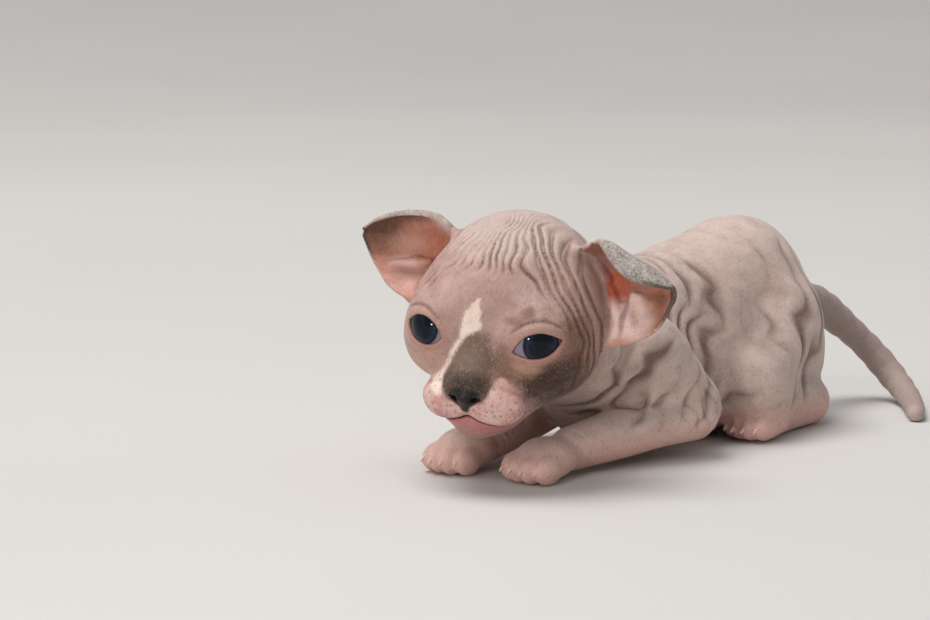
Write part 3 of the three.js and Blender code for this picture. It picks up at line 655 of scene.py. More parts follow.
def relief(p):
    # displacement along the normal, and how deep in a fold or crease each point lies, which the skin's colour
    # darkens as painted shade
    s = reliefShape
    q = toHead(p)
    onHead = smooth(-12, -4, q[:, 0]) * smooth(-22, -16, q[:, 2]) * smooth(25.5, 23.5, np.abs(q[:, 1]))
    offHead = smooth(3.0, 9.0, inside(q, *headShape["box"], headForm, far=12.0))
    fold, crease = headWrinkles(q)
    neck, flank, ring = bodyFolds(p, q)
    offFloor = smooth(0.5, 3.0, p[:, 2])
    depth = (fold * s["depth"] + crease * 0.5) * onHead
    onBody = neck * s["neckDepth"] * np.maximum(1 - onHead, 0) + flank * s["flankDepth"] + ring * s["ringDepth"]
    depth += onBody * offFloor
    soft = 0.25 * drift(p, 30.0, 31) * offHead * offFloor
    # painted shade: how far the skin's colour is darkened in wrinkles, lid and pad creases, neck and flank
    # folds and the rings at the joints
    foldShade = np.clip(fold * onHead + crease * 0.8 * onHead + (neck + flank) * (1 - onHead) + ring * 0.4, 0, 1)
    return (soft - depth).astype(np.float32), foldShade.astype(np.float32)


# From the field to one skin mesh: blocks of cells, then their parts, are kept only near the skin.
skinMesh = {"step": 0.42, "low": (-76.0, -42.0, -1.5), "high": (105.0, 39.0, 67.0), "faces": 186000,
            "block": 16, "part": 4, "blockSlack": 5.0, "partSlack": 1.6, "batch": 400000}


def gridCorners(axes):
    return np.stack(np.meshgrid(*axes, indexing="ij"), -1).reshape(-1, 3)


def skinSurface():
    s = skinMesh
    step, block, part = s["step"], s["block"], s["part"]
    far = 3 * step
    low = np.float32(s["low"])
    blocks = np.ceil((np.float32(s["high"]) - low) / (block * step)).astype(int)
    values = np.full(blocks * block, far, np.float32)
    corners = gridCorners([np.arange(n) * block for n in blocks])
    for size, finer, slack in ((block, part, s["blockSlack"]), (part, 1, s["partSlack"])):
        centres = low + (corners + (size - 1) / 2) * step
        distance = skinField(centres.astype(np.float32))
        keep = np.abs(distance) < size * step * 0.87 + slack
        for x, y, z in corners[~keep & (distance < 0)]:
            values[x:x + size, y:y + size, z:z + size] = -far
        corners = (corners[keep][:, None] + gridCorners([np.arange(0, size, finer)] * 3)).reshape(-1, 3)
    for start in range(0, len(corners), s["batch"]):
        x, y, z = corners[start:start + s["batch"]].T
        d = skinField((low + corners[start:start + s["batch"]] * step).astype(np.float32))
        values[x, y, z] = np.clip(d, -far, far)
    grid = openvdb.FloatGrid(background=far)
    grid.copyFromArray(values)
    points, triangles, quads = grid.convertToPolygons(isovalue=0.0, adaptivity=0.0)
    return low + points * np.float32(step), quads.astype(np.int64)


def outerShell(points, faces):
    # the largest joined surface: bubbles that the slit between the lips leaves inside are dropped
    label = np.arange(len(points))
    while True:
        joined = label.copy()
        np.minimum.at(joined, faces.ravel(), np.repeat(label[faces].min(axis=1), faces.shape[1]))
        joined = joined[joined]
        if (joined == label).all():
            break
        label = joined
    keep = label == np.bincount(label).argmax()
    place = np.cumsum(keep) - 1
    return points[keep], place[faces[keep[faces[:, 0]]]]


def evenOut(points, quads, share):
    ends = np.concatenate([quads[:, (n, (n + 1) % 4)] for n in range(4)])
    ends = np.concatenate((ends, ends[:, ::-1]))
    count = np.bincount(ends[:, 0], minlength=len(points))
    mean = np.stack([np.bincount(ends[:, 0], points[ends[:, 1], n], len(points)) for n in range(3)], axis=1)
    return points + share * (mean / np.maximum(count, 1)[:, None] - points)


def slopeAt(points, e=0.04):
    base = skinField(points)
    slope = np.stack([skinField(points + np.float32(e) * np.float32(axis)) - base for axis in np.eye(3)],
                     axis=1) / e
    return base, slope


def makeSkin():
    points, quads = outerShell(*skinSurface())
    print("skin surface:", len(points), "points")
    points = evenOut(points, quads, 0.5).astype(np.float32)
    base, slope = slopeAt(points)
    size2 = np.maximum((slope * slope).sum(axis=1), 0.2)
    points -= slope * (np.clip(base / size2, -0.3, 0.3))[:, None]
    normal = slope / np.sqrt(size2)[:, None]
    points = points + normal * relief(points)[0][:, None]
    points[:, 2] = np.maximum(points[:, 2], 0)
    a, b, c = (points[quads[:, n]] for n in range(3))
    if np.einsum("ij,ij->i", a, np.cross(b, c)).sum() < 0:
        quads = quads[:, ::-1]
    mesh = bpy.data.meshes.new("skin")
    mesh.vertices.add(len(points))
    mesh.vertices.foreach_set("co", (points / 1000).astype(np.float32).ravel())
    mesh.loops.add(quads.size)
    mesh.polygons.add(len(quads))
    mesh.polygons.foreach_set("loop_start", np.arange(0, quads.size, 4))
    mesh.loops.foreach_set("vertex_index", quads.ravel().astype(np.int32))
    mesh.update(calc_edges=True)
    skin = addToScene("skin", mesh)
    thinner = skin.modifiers.new("thinner", "DECIMATE")
    thinner.ratio = min(1, skinMesh["faces"] / (2 * len(quads)))
    thinner.use_collapse_triangulate = True
    thin = bpy.data.meshes.new_from_object(skin.evaluated_get(bpy.context.evaluated_depsgraph_get()))
    skin.modifiers.clear()
    skin.data = thin
    bpy.data.meshes.remove(mesh)
    thin.name = "skin"
    corners = np.zeros(len(thin.vertices) * 3, np.float32)
    thin.vertices.foreach_get("co", corners)
    corners = corners.reshape(-1, 3)
    thin.polygons.foreach_set("use_smooth", np.ones(len(thin.polygons), bool))
    thin.update()
    return skin, corners * 1000


# Markings of the coat over the nose and brow, as outlines across the face and up, in the head's frame.
faceMarkings = {
    "blaze": [(-0.1, 9.0), (0.7, 5.8), (0.4, 3.8), (1.0, 2.2), (-1.8, 1.0), (-3.1, -0.3), (-5.2, -3.6),
              (-6.8, -7.4),
              (-6.9, -9.0), (-6.4, -10.8), (-6.5, -12.6), (-8.6, -11.4), (-9.6, -10.2), (-8.2, -8.8),
              (-7.5, -7.4),
              (-5.9, -3.5), (-4.2, -0.6), (-3.8, 1.4), (-3.9, 3.7), (-3.2, 5.8), (-1.7, 7.2)],
    "bridge": [(-2.6, 0.4), (0.6, 1.8), (3.5, 0.9), (4.2, -2.3), (5.3, -4.5), (5.2, -6.6), (6.0, -9.0),
               (5.5, -11.0),
               (4.4, -12.4), (0.0, -14.0), (-4.6, -12.6), (-6.0, -11.0), (-6.6, -9.4), (-6.8, -8.2),
               (-6.0, -6.0),
               (-4.6, -3.0)],
}


def markSkin(skin, points):
    # values that the skin's finish is mixed by
    q = toHead(points)
    lid, lip, leather = (np.full(len(q), 9.0, np.float32) for _ in range(3))
    near = inBox(q, (8, -24, -28), (38, 24, 14))
    r = q[near]
    gaps = []
    for side in (-1, 1):
        across, up, out = eyeFrame(r, side)
        gaps.append(np.where(out > 1, outlineDistance(np.stack((across, up), axis=1), lidOutlines[side]), 9))
    lid[near] = np.minimum(*gaps)
    lip[near] = r[:, 2] - lipHeight(r[:, 1])
    leather[near] = noseForm(r)
    # fold: how deep in a fold, for the painted shade in the skin's colour
    marks = {"fold": relief(points)[1], "lid": lid, "lip": lip, "leather": leather}
    for name, outline in faceMarkings.items():
        marks[name] = np.full(len(q), 9.0, np.float32)
        marks[name][near] = np.where(r[:, 0] > 12, outlineDistance(r[:, 1:], np.array(outline)), 9)
    ear, along, rim = (np.zeros(len(q), np.float32) for _ in range(3))
    for side in (-1, 1):
        s = earShape[side]
        near = np.flatnonzero(inBox(q, np.float32(s["low"]) - 1, np.float32(s["high"]) + 1))
        found = nearEar(q[near], side, 4.2)
        on = found[:, 2] > 0.02
        index, found = near[on], found[on]
        offHead = smooth(0.4, 2.2, headForm(q[index]))
        ear[index] = np.where(found[:, 3] > 0, 1, -1) * smooth(4.0, 3.0, found[:, 0]) * offHead
        along[index] = found[:, 2]
        lowerEdge = 1 - 2 * found[:, 1] - 0.12 * smooth(1.0, 0.45, found[:, 2])
        onWall = smooth(0.2, 0.4, found[:, 2]) * smooth(1.6, 1.0, found[:, 0])
        rim[index] = np.maximum.reduce((2 * found[:, 1] - 1, lowerEdge, found[:, 2] ** 2)) * onWall
    marks.update(ear=ear, earAlong=along, earRim=rim)
    for name, values in marks.items():
        skin.data.attributes.new(name, "FLOAT", "POINT").data.foreach_set("value", values)


skin, skinPoints = makeSkin()
print("skin mesh:", len(skin.data.polygons), "faces")
markSkin(skin, skinPoints)
print("skin marked")


# Shader maths as plain expressions: a Wire is one socket.
class Wire:
    def __init__(self, finish, socket):
        self.finish, self.socket = finish, socket

    def maths(self, operation, *others, clamp=False):
        values = {0: self, **{n + 1: other for n, other in enumerate(others)}}
        return self.finish.node("ShaderNodeMath", {"operation": operation, "use_clamp": clamp}, values)

    def __add__(self, other): return self.maths("ADD", other)
    def __radd__(self, other): return self.maths("ADD", other)
    def __sub__(self, other): return self.maths("SUBTRACT", other)
    def __rsub__(self, other): return (self * -1).maths("ADD", other)
    def __mul__(self, other): return self.maths("MULTIPLY", other)
    def __rmul__(self, other): return self.maths("MULTIPLY", other)
    def clamp(self): return self.maths("ADD", 0.0, clamp=True)
    def most(self, other): return self.maths("MAXIMUM", other)

    def ease(self, edge0, edge1):
        # 0 at edge0 to 1 at edge1, softly; the edges may run either way
        low, high, start, end = (edge0, edge1, 0.0, 1.0) if edge0 < edge1 else (edge1, edge0, 1.0, 0.0)
        return self.finish.node("ShaderNodeMapRange", {"interpolation_type": "SMOOTHSTEP"},
                                {"Value": self, "From Min": low, "From Max": high, "To Min": start,
                                 "To Max": end})


class Finish:
    def __init__(self, name):
        self.material = bpy.data.materials.new(name)
        self.material.use_nodes = True
        self.tree = self.material.node_tree
        self.tree.nodes.clear()

    def node(self, kind, settings=None, inputs=None, output=0):
        made = self.tree.nodes.new(kind)
        for key, value in (settings or {}).items():
            setattr(made, key, value)
        for key, value in (inputs or {}).items():
            if isinstance(value, Wire):
                self.tree.links.new(value.socket, made.inputs[key])
            else:
                made.inputs[key].default_value = value
        return Wire(self, made.outputs[output])

    def mix(self, factor, first, second, blend="MIX"):
        return self.node("ShaderNodeMix", {"data_type": "RGBA", "blend_type": blend},
                         {0: factor, 6: first, 7: second}, 2)

    def vector(self, operation, first, second, output=0):
        return self.node("ShaderNodeVectorMath", {"operation": operation}, {0: first, 1: second}, output)

    def noise(self, place, scale, detail=3.0, roughness=0.55, distortion=0.0):
        return self.node("ShaderNodeTexNoise", None, {
            "Vector": place, "Scale": scale, "Detail": detail, "Roughness": roughness,
            "Distortion": distortion})

    def place(self):
        return self.node("ShaderNodeTexCoord", None, None, 3)

    def mark(self, name):
        return self.node("ShaderNodeAttribute", {"attribute_name": name}, None, 2)

    def close(self, inputs, settings=None):
        shader = self.node("ShaderNodeBsdfPrincipled", settings, inputs)
        out = self.tree.nodes.new("ShaderNodeOutputMaterial")
        self.tree.links.new(shader.socket, out.inputs["Surface"])
        return self.material


def tone(red, green, blue):
    # a colour as seen on screen, 0 to 255, as the light values that shaders use
    parts = (c / 255 / 12.92 if c <= 10 else ((c / 255 + 0.055) / 1.055) ** 2.4 for c in (red, green, blue))
    return (*parts, 1.0)


def headPlace(finish, place):
    # the place in the head's frame, in millimetres, as a vector and its three parts
    moved = finish.vector("SUBTRACT", place, [c / 1000 for c in headShape["at"]])
    parts = [finish.vector("DOT_PRODUCT", moved, tuple(headTurn[:, n] * 1000), "Value") for n in range(3)]
    joined = finish.node("ShaderNodeCombineXYZ", None, {0: parts[0], 1: parts[1], 2: parts[2]})
    return joined, parts


def patch(finish, place, centre, radii, soft, wander=0.0):
    # 1 inside an egg-shaped patch with a soft, wandering edge
    offset = finish.vector("SUBTRACT", place, centre)
    scaled = finish.vector("DIVIDE", offset, radii)
    away = finish.vector("LENGTH", scaled, (0, 0, 0), "Value") + wander
    return away.ease(1 + soft, 1 - soft)


skinTones = {
    "body": tone(212, 193, 183), "bodyGrey": tone(180, 159, 149), "rump": tone(208, 193, 185),
    "tail": tone(160, 143, 135), "flush": tone(206, 158, 144), "forehead": tone(194, 162, 150),
    "mauve": tone(160, 127, 120), "crown": tone(198, 180, 171), "cream": tone(238, 216, 202),
    "brow": tone(120, 84, 78), "browPale": tone(196, 168, 164), "bridge": tone(110, 89, 76),
    "bridgeDark": tone(58, 43, 34), "underEyeShaded": tone(124, 90, 72), "umberShaded": tone(52, 34, 23),
    "amber": tone(182, 145, 126), "pad": tone(214, 180, 170), "padRose": tone(200, 148, 140),
    "padDot": tone(150, 92, 84), "chin": tone(164, 118, 110), "lip": tone(180, 114, 116),
    "slit": tone(84, 26, 30), "leather": tone(19, 15, 13), "leatherEdge": tone(84, 40, 32),
    "lidRim": tone(48, 36, 34), "lidSkin": tone(170, 128, 112), "lidPink": tone(200, 140, 134),
    # fold: painted shade for the folds and creases, also the dark of the fine pores
    "fold": tone(96, 63, 50), "paw": tone(222, 172, 160), "earInBacklit": tone(172, 116, 86),
    "earDeepBacklit": tone(190, 96, 68), "earRose": tone(218, 168, 158), "earMauve": tone(150, 112, 112),
    "earPale": tone(238, 206, 197), "earShade": tone(92, 66, 52), "earBack": tone(128, 120, 114),
    "earDown": tone(204, 196, 188), "earEdge": tone(70, 56, 46), "down": tone(214, 190, 176),
}

# Soft patches of the face and ears, in the head's frame: tone, centre, radii, softness, strength.
facePatches = [
    ("crown", (-3, 0, 20), (18, 19, 8), 0.5, 0.75),
    ("mauve", (17, 2.5, 9.0), (8, 9, 6), 0.6, 0.45),
    ("mauve", (21, -8, 2), (6, 4, 7), 0.5, 0.5),
    ("amber", (20, -12, -8), (8, 6, 6), 0.5, 0.6),
    ("browPale", (17, 11.5, 9.4), (5, 3.6, 2.4), 0.5, 0.45),
    ("brow", (20.8, 11.6, 6.7), (3.2, 1.5, 1.2), 0.55, 0.7),
    ("brow", (22.3, 9.0, 5.0), (3.2, 2.2, 0.9), 0.6, 0.6),
    ("browPale", (20.5, -8.6, 8.2), (5, 2.6, 2.8), 0.5, 0.4),
    # underEyeShaded and umberShaded: brown skin under and beside the eyes and on the cheeks, darkened further
    # as painted shade
    ("underEyeShaded", (24.4, 7.2, -4.4), (5, 3.4, 4.6), 0.5, 0.8),
    ("underEyeShaded", (20, 15.0, -9.0), (9, 7.5, 5.2), 0.4, 0.85),
    ("umberShaded", (19.0, 14.2, -12.0), (7.0, 6.4, 3.4), 0.5, 0.9),
    ("umberShaded", (18.6, 19.0, -7.2), (6.5, 4.6, 4.2), 0.6, 0.85),
    ("umberShaded", (12.0, 18.5, -12.0), (9, 6, 6), 0.6, 0.85),
    ("umberShaded", (11.5, 15.0, -17.0), (8, 5, 4.5), 0.6, 0.75),
    ("underEyeShaded", (15.4, 21.2, -1.6), (6, 4, 6), 0.6, 0.85),
    ("underEyeShaded", (12, 20, -5), (7, 4, 8), 0.6, 0.7),
    ("amber", (23.0, 12.6, -5.4), (4.5, 3.6, 1.7), 0.5, 0.75),
    ("lidSkin", (20, 17.5, -3.6), (5, 4, 2.0), 0.5, 0.5),
    ("umberShaded", (18.4, 19.6, -7.6), (6.0, 4.2, 4.4), 0.55, 0.85),
]
padPatches = [
    (27.0, 8.2, -14.0, 6.5, 4.7, 4.6), (26.5, 3.4, -14.8, 7.0, 3.6, 3.0), (28.0, 7.4, -10.2, 3.4, 1.9, 2.4),
    (27.0, -8.0, -13.6, 7.5, 6.4, 4.4), (26.5, -3.2, -14.8, 7.0, 3.6, 3.2),
]
earPatches = {
    # earDeepBacklit and earInBacklit: the inner ear's skin, its orange partly painted light shining through the
    # ear from behind
    1: [("earDeepBacklit", (-7.0, 23.6, 4.6), (5.0, 3.4, 5.4), 0.5, 0.95),
        ("earMauve", (-7, 18.8, 7.6), (6, 2.7, 5.0), 0.4, 0.85),
        ("earPale", (-3, 24.2, -2.6), (7, 3.8, 4.4), 0.4, 0.95),
        ("earPale", (-3, 29.6, -1.6), (7, 4.4, 4.4), 0.4, 0.9),
        # two thin lines of painted shade along the creases between the lower ear's folds
        ("earMauve", (-3, 26.6, -1.6), (6, 0.7, 4.0), 0.6, 0.7),
        ("earMauve", (-3, 22.8, -3.0), (6, 0.6, 3.6), 0.6, 0.6),
        # a painted highlight on the small lump beside the ear canal
        ("earPale", (-6, 28.4, 2.7), (4, 1.9, 1.2), 0.5, 0.9),
        ("earInBacklit", (-6, 33.4, 1.4), (5, 2.6, 2.6), 0.5, 0.6),
        ("earShade", (-6, 34.6, 2.8), (5, 1.6, 1.6), 0.6, 0.45),
        ("earShade", (-6, 20.6, 14.2), (6, 4.4, 2.2), 0.5, 0.3)],
    -1: [("earShade", (-5, -37.0, 13.0), (8, 6.5, 5.0), 0.6, 0.9),
         ("earShade", (-4, -30.0, 16.4), (8, 8.0, 2.4), 0.6, 0.8),
         ("earRose", (-3, -28.0, 1.2), (7, 8.0, 4.4), 0.35, 0.45),
         ("earPale", (-2, -28.4, 1.0), (5, 5.0, 1.2), 0.5, 0.3),
         ("earShade", (-4, -28.4, 2.9), (6, 5.6, 0.8), 0.7, 0.4),
         ("earPale", (-5, -28.8, 4.8), (6, 4.6, 0.9), 0.6, 0.5),
         ("earPale", (-2.5, -20.0, 15.5), (7, 3.6, 4.2), 0.5, 0.8),
         ("earDeepBacklit", (-7, -23.0, 8.5), (5, 3.4, 5.0), 0.6, 0.45)],
}


def layPatches(finish, head, colour, patches, wander):
    for name, centre, radii, soft, strength in patches:
        colour = finish.mix(patch(finish, head, centre, radii, soft, wander) * strength, colour,
                            skinTones[name])
    return colour


def skinFinish():
    f, t = Finish("kitten_skin"), skinTones
    place = f.place()
    head, parts = headPlace(f, place)
    x, y, z = parts
    along = f.node("ShaderNodeSeparateXYZ", None, {0: place}) * 1000
    low = f.node("ShaderNodeSeparateXYZ", None, {0: place}, 2) * 1000
    blotch = f.noise(place, 60.0, 3.0) - 0.5
    mottle = f.noise(place, 240.0, 4.0, 0.6) - 0.5
    fleck = f.noise(place, 620.0, 4.0, 0.6) - 0.5
    grain = f.noise(place, 2400.0, 3.0, 0.7) - 0.5
    # short down lies in streaks that run up the face, away from the nose
    nap = f.noise(f.vector("MULTIPLY", head, (0.9, 4.2, 1.2)), 1.0, 3.0, 0.6, 0.5) - 0.5
    wander = mottle * 0.7 + fleck * 0.6 + blotch * 0.5

    # trunk, limbs and tail: pale pink, greyer over the rump
    colour = f.mix((blotch * 2.0 + mottle + 0.4).clamp(), t["body"], t["bodyGrey"])
    colour = f.mix((blotch * -2.2 + 0.1).clamp() * 0.5, colour, t["flush"])
    colour = f.mix(along.ease(40, 74) * 0.75, colour, t["rump"])
    colour = f.mix(along.ease(70, 84), colour, t["tail"])
    colour = f.mix(low.ease(13, 3) * along.ease(80, 60) * 0.75, colour, t["paw"])

    # the face
    onHead = patch(f, head, (6, 0, -2), (27, 27, 27), 0.12)
    onHead = onHead.most(patch(f, head, (21, 0, -13), (17, 17, 17), 0.12))
    face = f.mix((blotch * 1.4 + mottle * 1.4 + 0.45).clamp(), t["forehead"], t["mauve"])
    face = layPatches(f, head, face, facePatches, wander)
    bridge = f.mark("bridge") + mottle * 2.2 + nap * 1.6
    face = f.mix(bridge.ease(1.3, -1.3), face, t["bridge"])
    muzzle = patch(f, head, (28, -0.6, -9.6), (7, 5.4, 3.8), 0.5, wander)
    face = f.mix(muzzle * bridge.ease(0.8, -0.6), face, t["bridgeDark"])
    pads = None
    for cx, cy, cz, rx, ry, rz in padPatches:
        spot = patch(f, head, (cx, cy, cz), (rx, ry, rz), 0.22, wander * 0.9)
        pads = spot if pads is None else pads.most(spot)
    padTone = f.mix((mottle * 3.6 + fleck * 3.4 + 0.45).clamp(), t["pad"], t["padRose"])
    pads = pads * f.mark("bridge").ease(-0.6, 0.5)
    face = f.mix(pads, face, padTone)
    # the chin's pink-tan skin, darkened as painted shadow
    face = f.mix(patch(f, head, (21, 0, -21.5), (10, 9.5, 5.0), 0.22, wander), face, t["chin"])
    blaze = (f.mark("blaze") + fleck * 2.0 + nap * 2.4).ease(0.6, -0.35)
    face = f.mix(blaze * 0.95, face, t["cream"])
    dots = f.node("ShaderNodeTexVoronoi", None,
                  {"Vector": head, "Scale": 0.62, "Randomness": 0.55}) + fleck * 0.25
    pits = dots.ease(0.34, 0.14) * pads
    face = f.mix(pits * 0.5, face, t["padDot"])
    colour = f.mix(onHead, colour, face)

    # ears
    ear, reach, rim = f.mark("ear"), f.mark("earAlong"), f.mark("earRim")
    # inner ear skin, with painted light shining through from behind in its orange
    inner = f.mix((blotch * 2 + mottle * 2 + 0.5).clamp() * 0.5, t["earInBacklit"], t["earRose"])
    inner = f.mix(y.ease(-8, -16), layPatches(f, head, inner, earPatches[1], wander * 0.5),
                  layPatches(f, head, inner, earPatches[-1], wander * 0.5))
    colour = f.mix(ear.ease(0.05, 0.7), colour, inner)
    outer = f.mix((grain * 2.6 + fleck * 1.8 + 0.5).clamp() * 0.85, t["earBack"], t["earDown"])
    outer = f.mix(y.ease(-8, -16) * 0.45, outer, t["bodyGrey"])
    colour = f.mix((ear * -1).ease(0.05, 0.7) * reach.ease(0.0, 0.35), colour, outer)
    edge = (rim + fleck * 0.03).ease(0.92, 0.97)
    colour = f.mix(edge * reach.ease(0.35, 0.9) * 0.85, colour, t["earEdge"])

    # painted shade in the folds, then lids, lips and nose leather, from the mesh's own marks
    fold, lid, lip = f.mark("fold"), f.mark("lid"), f.mark("lip")
    # painted shade: the skin darkens with the fold mark in wrinkles, creases and folds
    colour = f.mix(fold.ease(0.06, 0.9) * 0.78, colour, t["fold"])
    colour = f.mix((lid + mottle).ease(2.0, 0.7) * 0.75, colour, t["lidSkin"])
    lower = lid.ease(0.75, 0.2) * z.ease(1.5, -1.5)
    colour = f.mix(lower * 0.5, colour, t["lidPink"])
    colour = f.mix(lid.ease(0.32, -0.05) * (1 - lower * 0.45), colour, t["lidRim"])
    underLip = lip.ease(-3.4, -1.2) * lip.ease(0.5, 0.0) * (y * y).ease(90, 36) * x.ease(16, 20)
    colour = f.mix((underLip + mottle * 0.5).clamp() * 0.9, colour, t["lip"])
    # painted shade: a dark red band along the slit between the lips
    atMouth = x.ease(17.2, 18.6) * (y * y).ease(108, 92)
    colour = f.mix(lip.maths("ABSOLUTE").ease(0.42, 0.08) * atMouth, colour, t["slit"])
    spikes = nap * z.ease(-11.0, -9.4) * 1.3
    leather = (f.mark("leather") + fleck * 0.25 + spikes).ease(0.85, 0.25)
    edge = (y - 3.6).maths("ABSOLUTE").ease(1.4, 0.5) * (z + 12.3).maths("ABSOLUTE").ease(0.95, 0.25)
    colour = f.mix(leather, colour, f.mix(edge * 0.85, t["leather"], t["leatherEdge"]))

    # fine flecks of short pale down, and pores
    downy = (nap * 1.5 + grain * 1.5 + fleck * 0.6 + 0.5).clamp()
    dry = 1 - leather.most(underLip)
    colour = f.mix(downy.ease(0.58, 0.98) * dry * along.ease(80, 60) * 0.28, colour, t["down"])
    colour = f.mix(downy.ease(0.44, 0.06) * 0.40, colour, t["fold"])

    wet = (leather * 0.45).most(underLip * 1.1).most(lid.ease(0.3, -0.1)).clamp()
    rough = (0.60 + fleck * 0.15 - wet * 0.38).clamp()
    height = fleck * 0.16 + (grain * 0.12 + nap * 0.12) * dry + f.noise(place, 900.0, 2.0) * 0.06 - pits * 0.10
    bump = f.node("ShaderNodeBump", None, {"Strength": 0.6, "Distance": 0.0011, "Height": height})
    return f.close({
        "Base Color": colour, "Roughness": rough, "Normal": bump, "Subsurface Weight": 0.12,
        "Subsurface Radius": (1.0, 0.35, 0.22), "Subsurface Scale": 0.0018, "Sheen Weight": 0.09,
        "Sheen Roughness": 0.45, "Specular IOR Level": 0.30}, {"subsurface_method": "RANDOM_WALK"})


skin.data.materials.append(skinFinish())
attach(skin, "root")
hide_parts("head", "lower_jaw", "nose", "ear_left", "ear_right", "neck", "chest", "abdomen", "rump",
            "foreleg_left", "foreleg_right", "forepaw_left", "forepaw_right", "hind_leg_left", "hind_leg_right",
            "hind_foot_left", "hind_foot_right", "tail_base", "tail_upper", "tail_lower", "tail_tip")
print("skin finished")


# Eyes: a globe with its cornea standing a little proud, wide pupil and slate iris.
eyeShape = {"rings": 64, "around": 96, "iris": 31.0, "pupil": 20.0, "bulge": 0.55,
            1: (36.0, 6.0), -1: (-20.0, 13.0)}


def gaze(side):
    turnAngle, lift = (math.radians(a) for a in eyeShape[side])
    local = Vector((math.cos(turnAngle) * math.cos(lift), math.sin(turnAngle) * math.cos(lift), math.sin(lift)))
    return Vector(headTurn @ np.array(local)).normalized()


def makeEye(name, side):
    s = eyeShape
    shape = bmesh.new()
    bmesh.ops.create_uvsphere(shape, u_segments=s["around"], v_segments=s["rings"], radius=1.0)
    look = gaze(side)
    spin = Vector((0, 0, 1)).rotation_difference(look).to_matrix()
    centre = Vector(fromHead(eyeCentre(side))) / 1000
    for vertex in shape.verts:
        angle = math.degrees(math.acos(max(-1, min(1, vertex.co.z))))
        radius = headShape["globe"] + s["bulge"] * max(0, 1 - (angle / (s["iris"] * 1.2)) ** 2)
        vertex.co = centre + spin @ vertex.co * (radius / 1000)
    for face in shape.faces:
        face.smooth = True
    eye = addShape(name, shape)
    eye.data.materials.append(eyeFinish(name, centre, look, side))
    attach(eye, "root")
    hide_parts("eye_left" if side > 0 else "eye_right")


eyeTones = {
    "white": tone(128, 124, 146), "inner": tone(150, 122, 130), "limbus": tone(12, 16, 26),
    "iris": tone(38, 49, 70), "irisEdge": tone(20, 27, 41), "pupil": tone(11, 15, 25),
    "haze": tone(70, 92, 124),
}


def eyeFinish(name, centre, look, side):
    f, t = Finish(name + "_finish"), eyeTones
    place = f.place()
    out = f.vector("NORMALIZE", f.vector("SUBTRACT", place, tuple(centre)), (0, 0, 0))
    facing = f.vector("DOT_PRODUCT", out, tuple(look), "Value")
    angle = facing.maths("ARCCOSINE") * (180 / math.pi)
    fibre = f.noise(out, 26.0, 4.0) - 0.5
    angle = angle + fibre * 1.6
    inward = Vector(headTurn @ np.array((0.3, -side, -0.35))).normalized()
    colour = f.mix(f.vector("DOT_PRODUCT", out, tuple(inward), "Value").ease(0.1, 0.75), t["white"], t["inner"])
    colour = f.mix(f.noise(out, 9.0, 5.0).ease(0.55, 0.75) * 0.25, colour, t["inner"])
    iris = f.mix((fibre * 2.5 + 0.5).clamp(), t["iris"], t["irisEdge"])
    iris = f.mix(angle.ease(eyeShape["pupil"] - 3, eyeShape["pupil"] + 7), t["pupil"], iris)
    iris = f.mix((f.noise(out, 3.0, 2.0) - 0.5).ease(0.0, 0.25) * 0.12, iris, t["haze"])
    colour = f.mix(angle.ease(eyeShape["iris"] + 3.0, eyeShape["iris"] - 1.0), colour, t["limbus"])
    colour = f.mix(angle.ease(eyeShape["iris"] - 0.5, eyeShape["iris"] - 6), colour, iris)
    return f.close({
        "Base Color": colour, "Roughness": 0.035 + fibre * 0.02, "IOR": 1.38, "Specular IOR Level": 0.3,
        "Subsurface Weight": 0.04, "Subsurface Scale": 0.001})


for name, side in (("eyeball_left", 1), ("eyeball_right", -1)):
    makeEye(name, side)
print("eyes made")


# Claws: short, clear, curved hooks just past each toe.
clawShape = {"length": 2.0, "width": 0.75, "rings": 8, "around": 12}


def clawFinish():
    f = Finish("claw_horn")
    place = f.place()
    streaks = f.noise(place, 1500.0, 3.0)
    colour = f.mix(streaks.ease(0.35, 0.7), tone(236, 214, 200), tone(206, 170, 158))
    return f.close({
        "Base Color": colour, "Roughness": 0.28 + streaks * 0.1, "Subsurface Weight": 0.3,
        "Subsurface Scale": 0.001})


def addClaw(shape, root, forward, down):
    s = clawShape
    rows = []
    for i in range(s["rings"] + 1):
        t = i / s["rings"]
        middle = root + forward * (s["length"] * math.sin(t * 1.2))
        middle += down * (s["length"] * 0.62 * (1 - math.cos(t * 1.25)))
        radius = s["width"] * (1 - t) ** 0.8 + 0.06
        across = forward.cross(down).normalized()
        over = (down * math.cos(t) + forward * -math.sin(t)).normalized()
        ring = [middle + across * (0.62 * radius * math.cos(a)) + over * (radius * math.sin(a))
                for a in (n / s["around"] * 2 * math.pi for n in range(s["around"]))]
        rows.append([shape.verts.new(point / 1000) for point in ring])
    for first, second in zip(rows, rows[1:]):
        for n in range(s["around"]):
            m = (n + 1) % s["around"]
            shape.faces.new((first[n], first[m], second[m], second[n])).smooth = True
    shape.faces.new(list(reversed(rows[0])))
    shape.faces.new(rows[-1])


def makeClaws():
    shape = bmesh.new()
    forward, down = Vector((-1, 0, 0)), Vector((0, 0, -1))
    for side in (-1, 1):
        for row in ("fore", "hind"):
            for place in toePlaces(side, row):
                addClaw(shape, Vector(place) + Vector(toeRows[row]["claw"]), forward, down)
    bmesh.ops.recalc_face_normals(shape, faces=shape.faces)
    claws = addShape("claws", shape)
    claws.data.materials.append(clawFinish())
    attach(claws, "root")


makeClaws()
print("claws made")


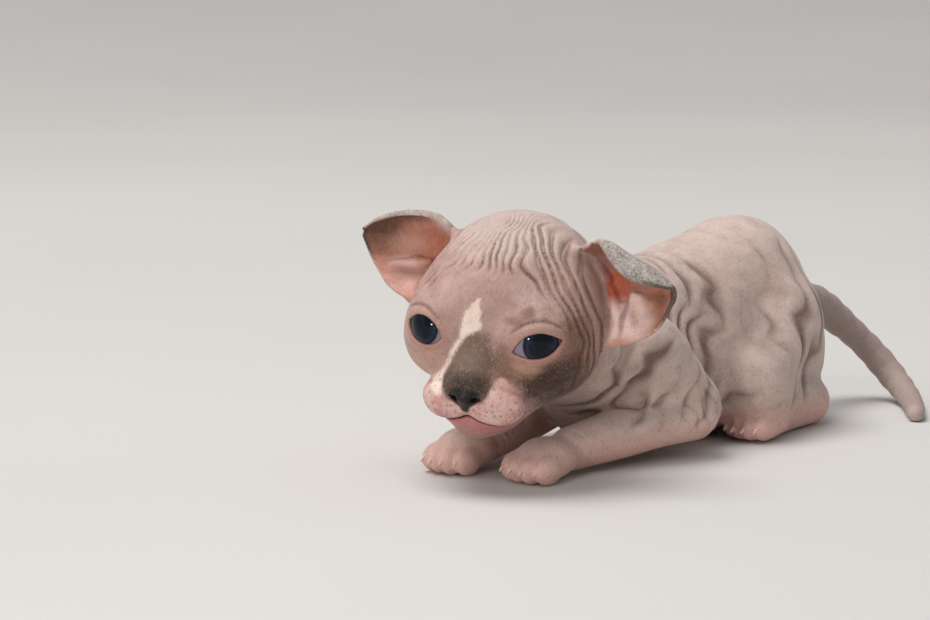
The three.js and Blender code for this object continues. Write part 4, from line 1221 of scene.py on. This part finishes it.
# Floor and soft studio light.
studio = {
    "floor": tone(206, 203, 199), "floorShade": tone(194, 191, 188), "flat": 1.3, "sweep": 2.4,
    "world": (0.88, 0.91, 0.97),
    "worldStrength": 0.42, "around": 96, "floorHeight": -0.0002,
    # name, place, aim, size in metres, power in watts, spread in degrees, colour
    "lights": [("over", (-0.35, 0.55, 2.40), (-0.05, 0.10, 0.0), 1.60, 52.0, 180, (1.0, 0.98, 0.95)),
               ("window", (-1.05, -0.25, 0.75), (-0.06, 0, 0.04), 0.40, 2.4, 180, (1.0, 0.98, 0.96)),
               ("catchLight", (-0.84, -0.15, 0.15), (-0.06, -0.01, 0.04), 0.10, 0.19, 70, (1.0, 1.0, 1.0))],
}


def makeFloor():
    # a round floor that sweeps up all round, far out
    s = studio
    profile = [(0.0, 0.0), (0.5, 0.0), (s["flat"], 0.0)]
    profile += [(s["flat"] + s["sweep"] * math.sin(a), s["sweep"] * (1 - math.cos(a)))
                for a in (n * math.pi / 32 for n in range(1, 15))]
    shape = bmesh.new()
    ends = [shape.verts.new((radius, 0, height)) for radius, height in profile]
    edges = [shape.edges.new(pair) for pair in zip(ends, ends[1:])]
    bmesh.ops.spin(shape, geom=ends + edges, cent=(0, 0, 0), axis=(0, 0, 1), angle=2 * math.pi,
                   steps=s["around"],
                   use_merge=True)
    bmesh.ops.remove_doubles(shape, verts=shape.verts, dist=1e-5)
    bmesh.ops.recalc_face_normals(shape, faces=shape.faces)
    for face in shape.faces:
        face.smooth = True
    floor = addShape("floor", shape)
    floor.location.z = s["floorHeight"]
    f = Finish("floor_paper")
    cloud = f.noise(f.place(), 3.0, 3.0)
    colour = f.mix(cloud.ease(0.3, 0.7) * 0.3, s["floor"], s["floorShade"])
    floor.data.materials.append(f.close({"Base Color": colour, "Roughness": 0.85}))


def makeLight():
    world = bpy.data.worlds.new("studio")
    bpy.context.scene.world = world
    world.use_nodes = True
    background = world.node_tree.nodes["Background"]
    background.inputs["Color"].default_value = (*studio["world"], 1)
    background.inputs["Strength"].default_value = studio["worldStrength"]
    for name, place, target, size, power, spread, colour in studio["lights"]:
        data = bpy.data.lights.new(name, "AREA")
        data.shape, data.size, data.energy, data.color = "DISK", size, power, colour
        data.spread = math.radians(spread)
        aim(addToScene(name, data), place, Vector(target) - Vector(place))


makeFloor()
makeLight()
bpy.context.scene.view_settings.view_transform = "Standard"
print("studio made")
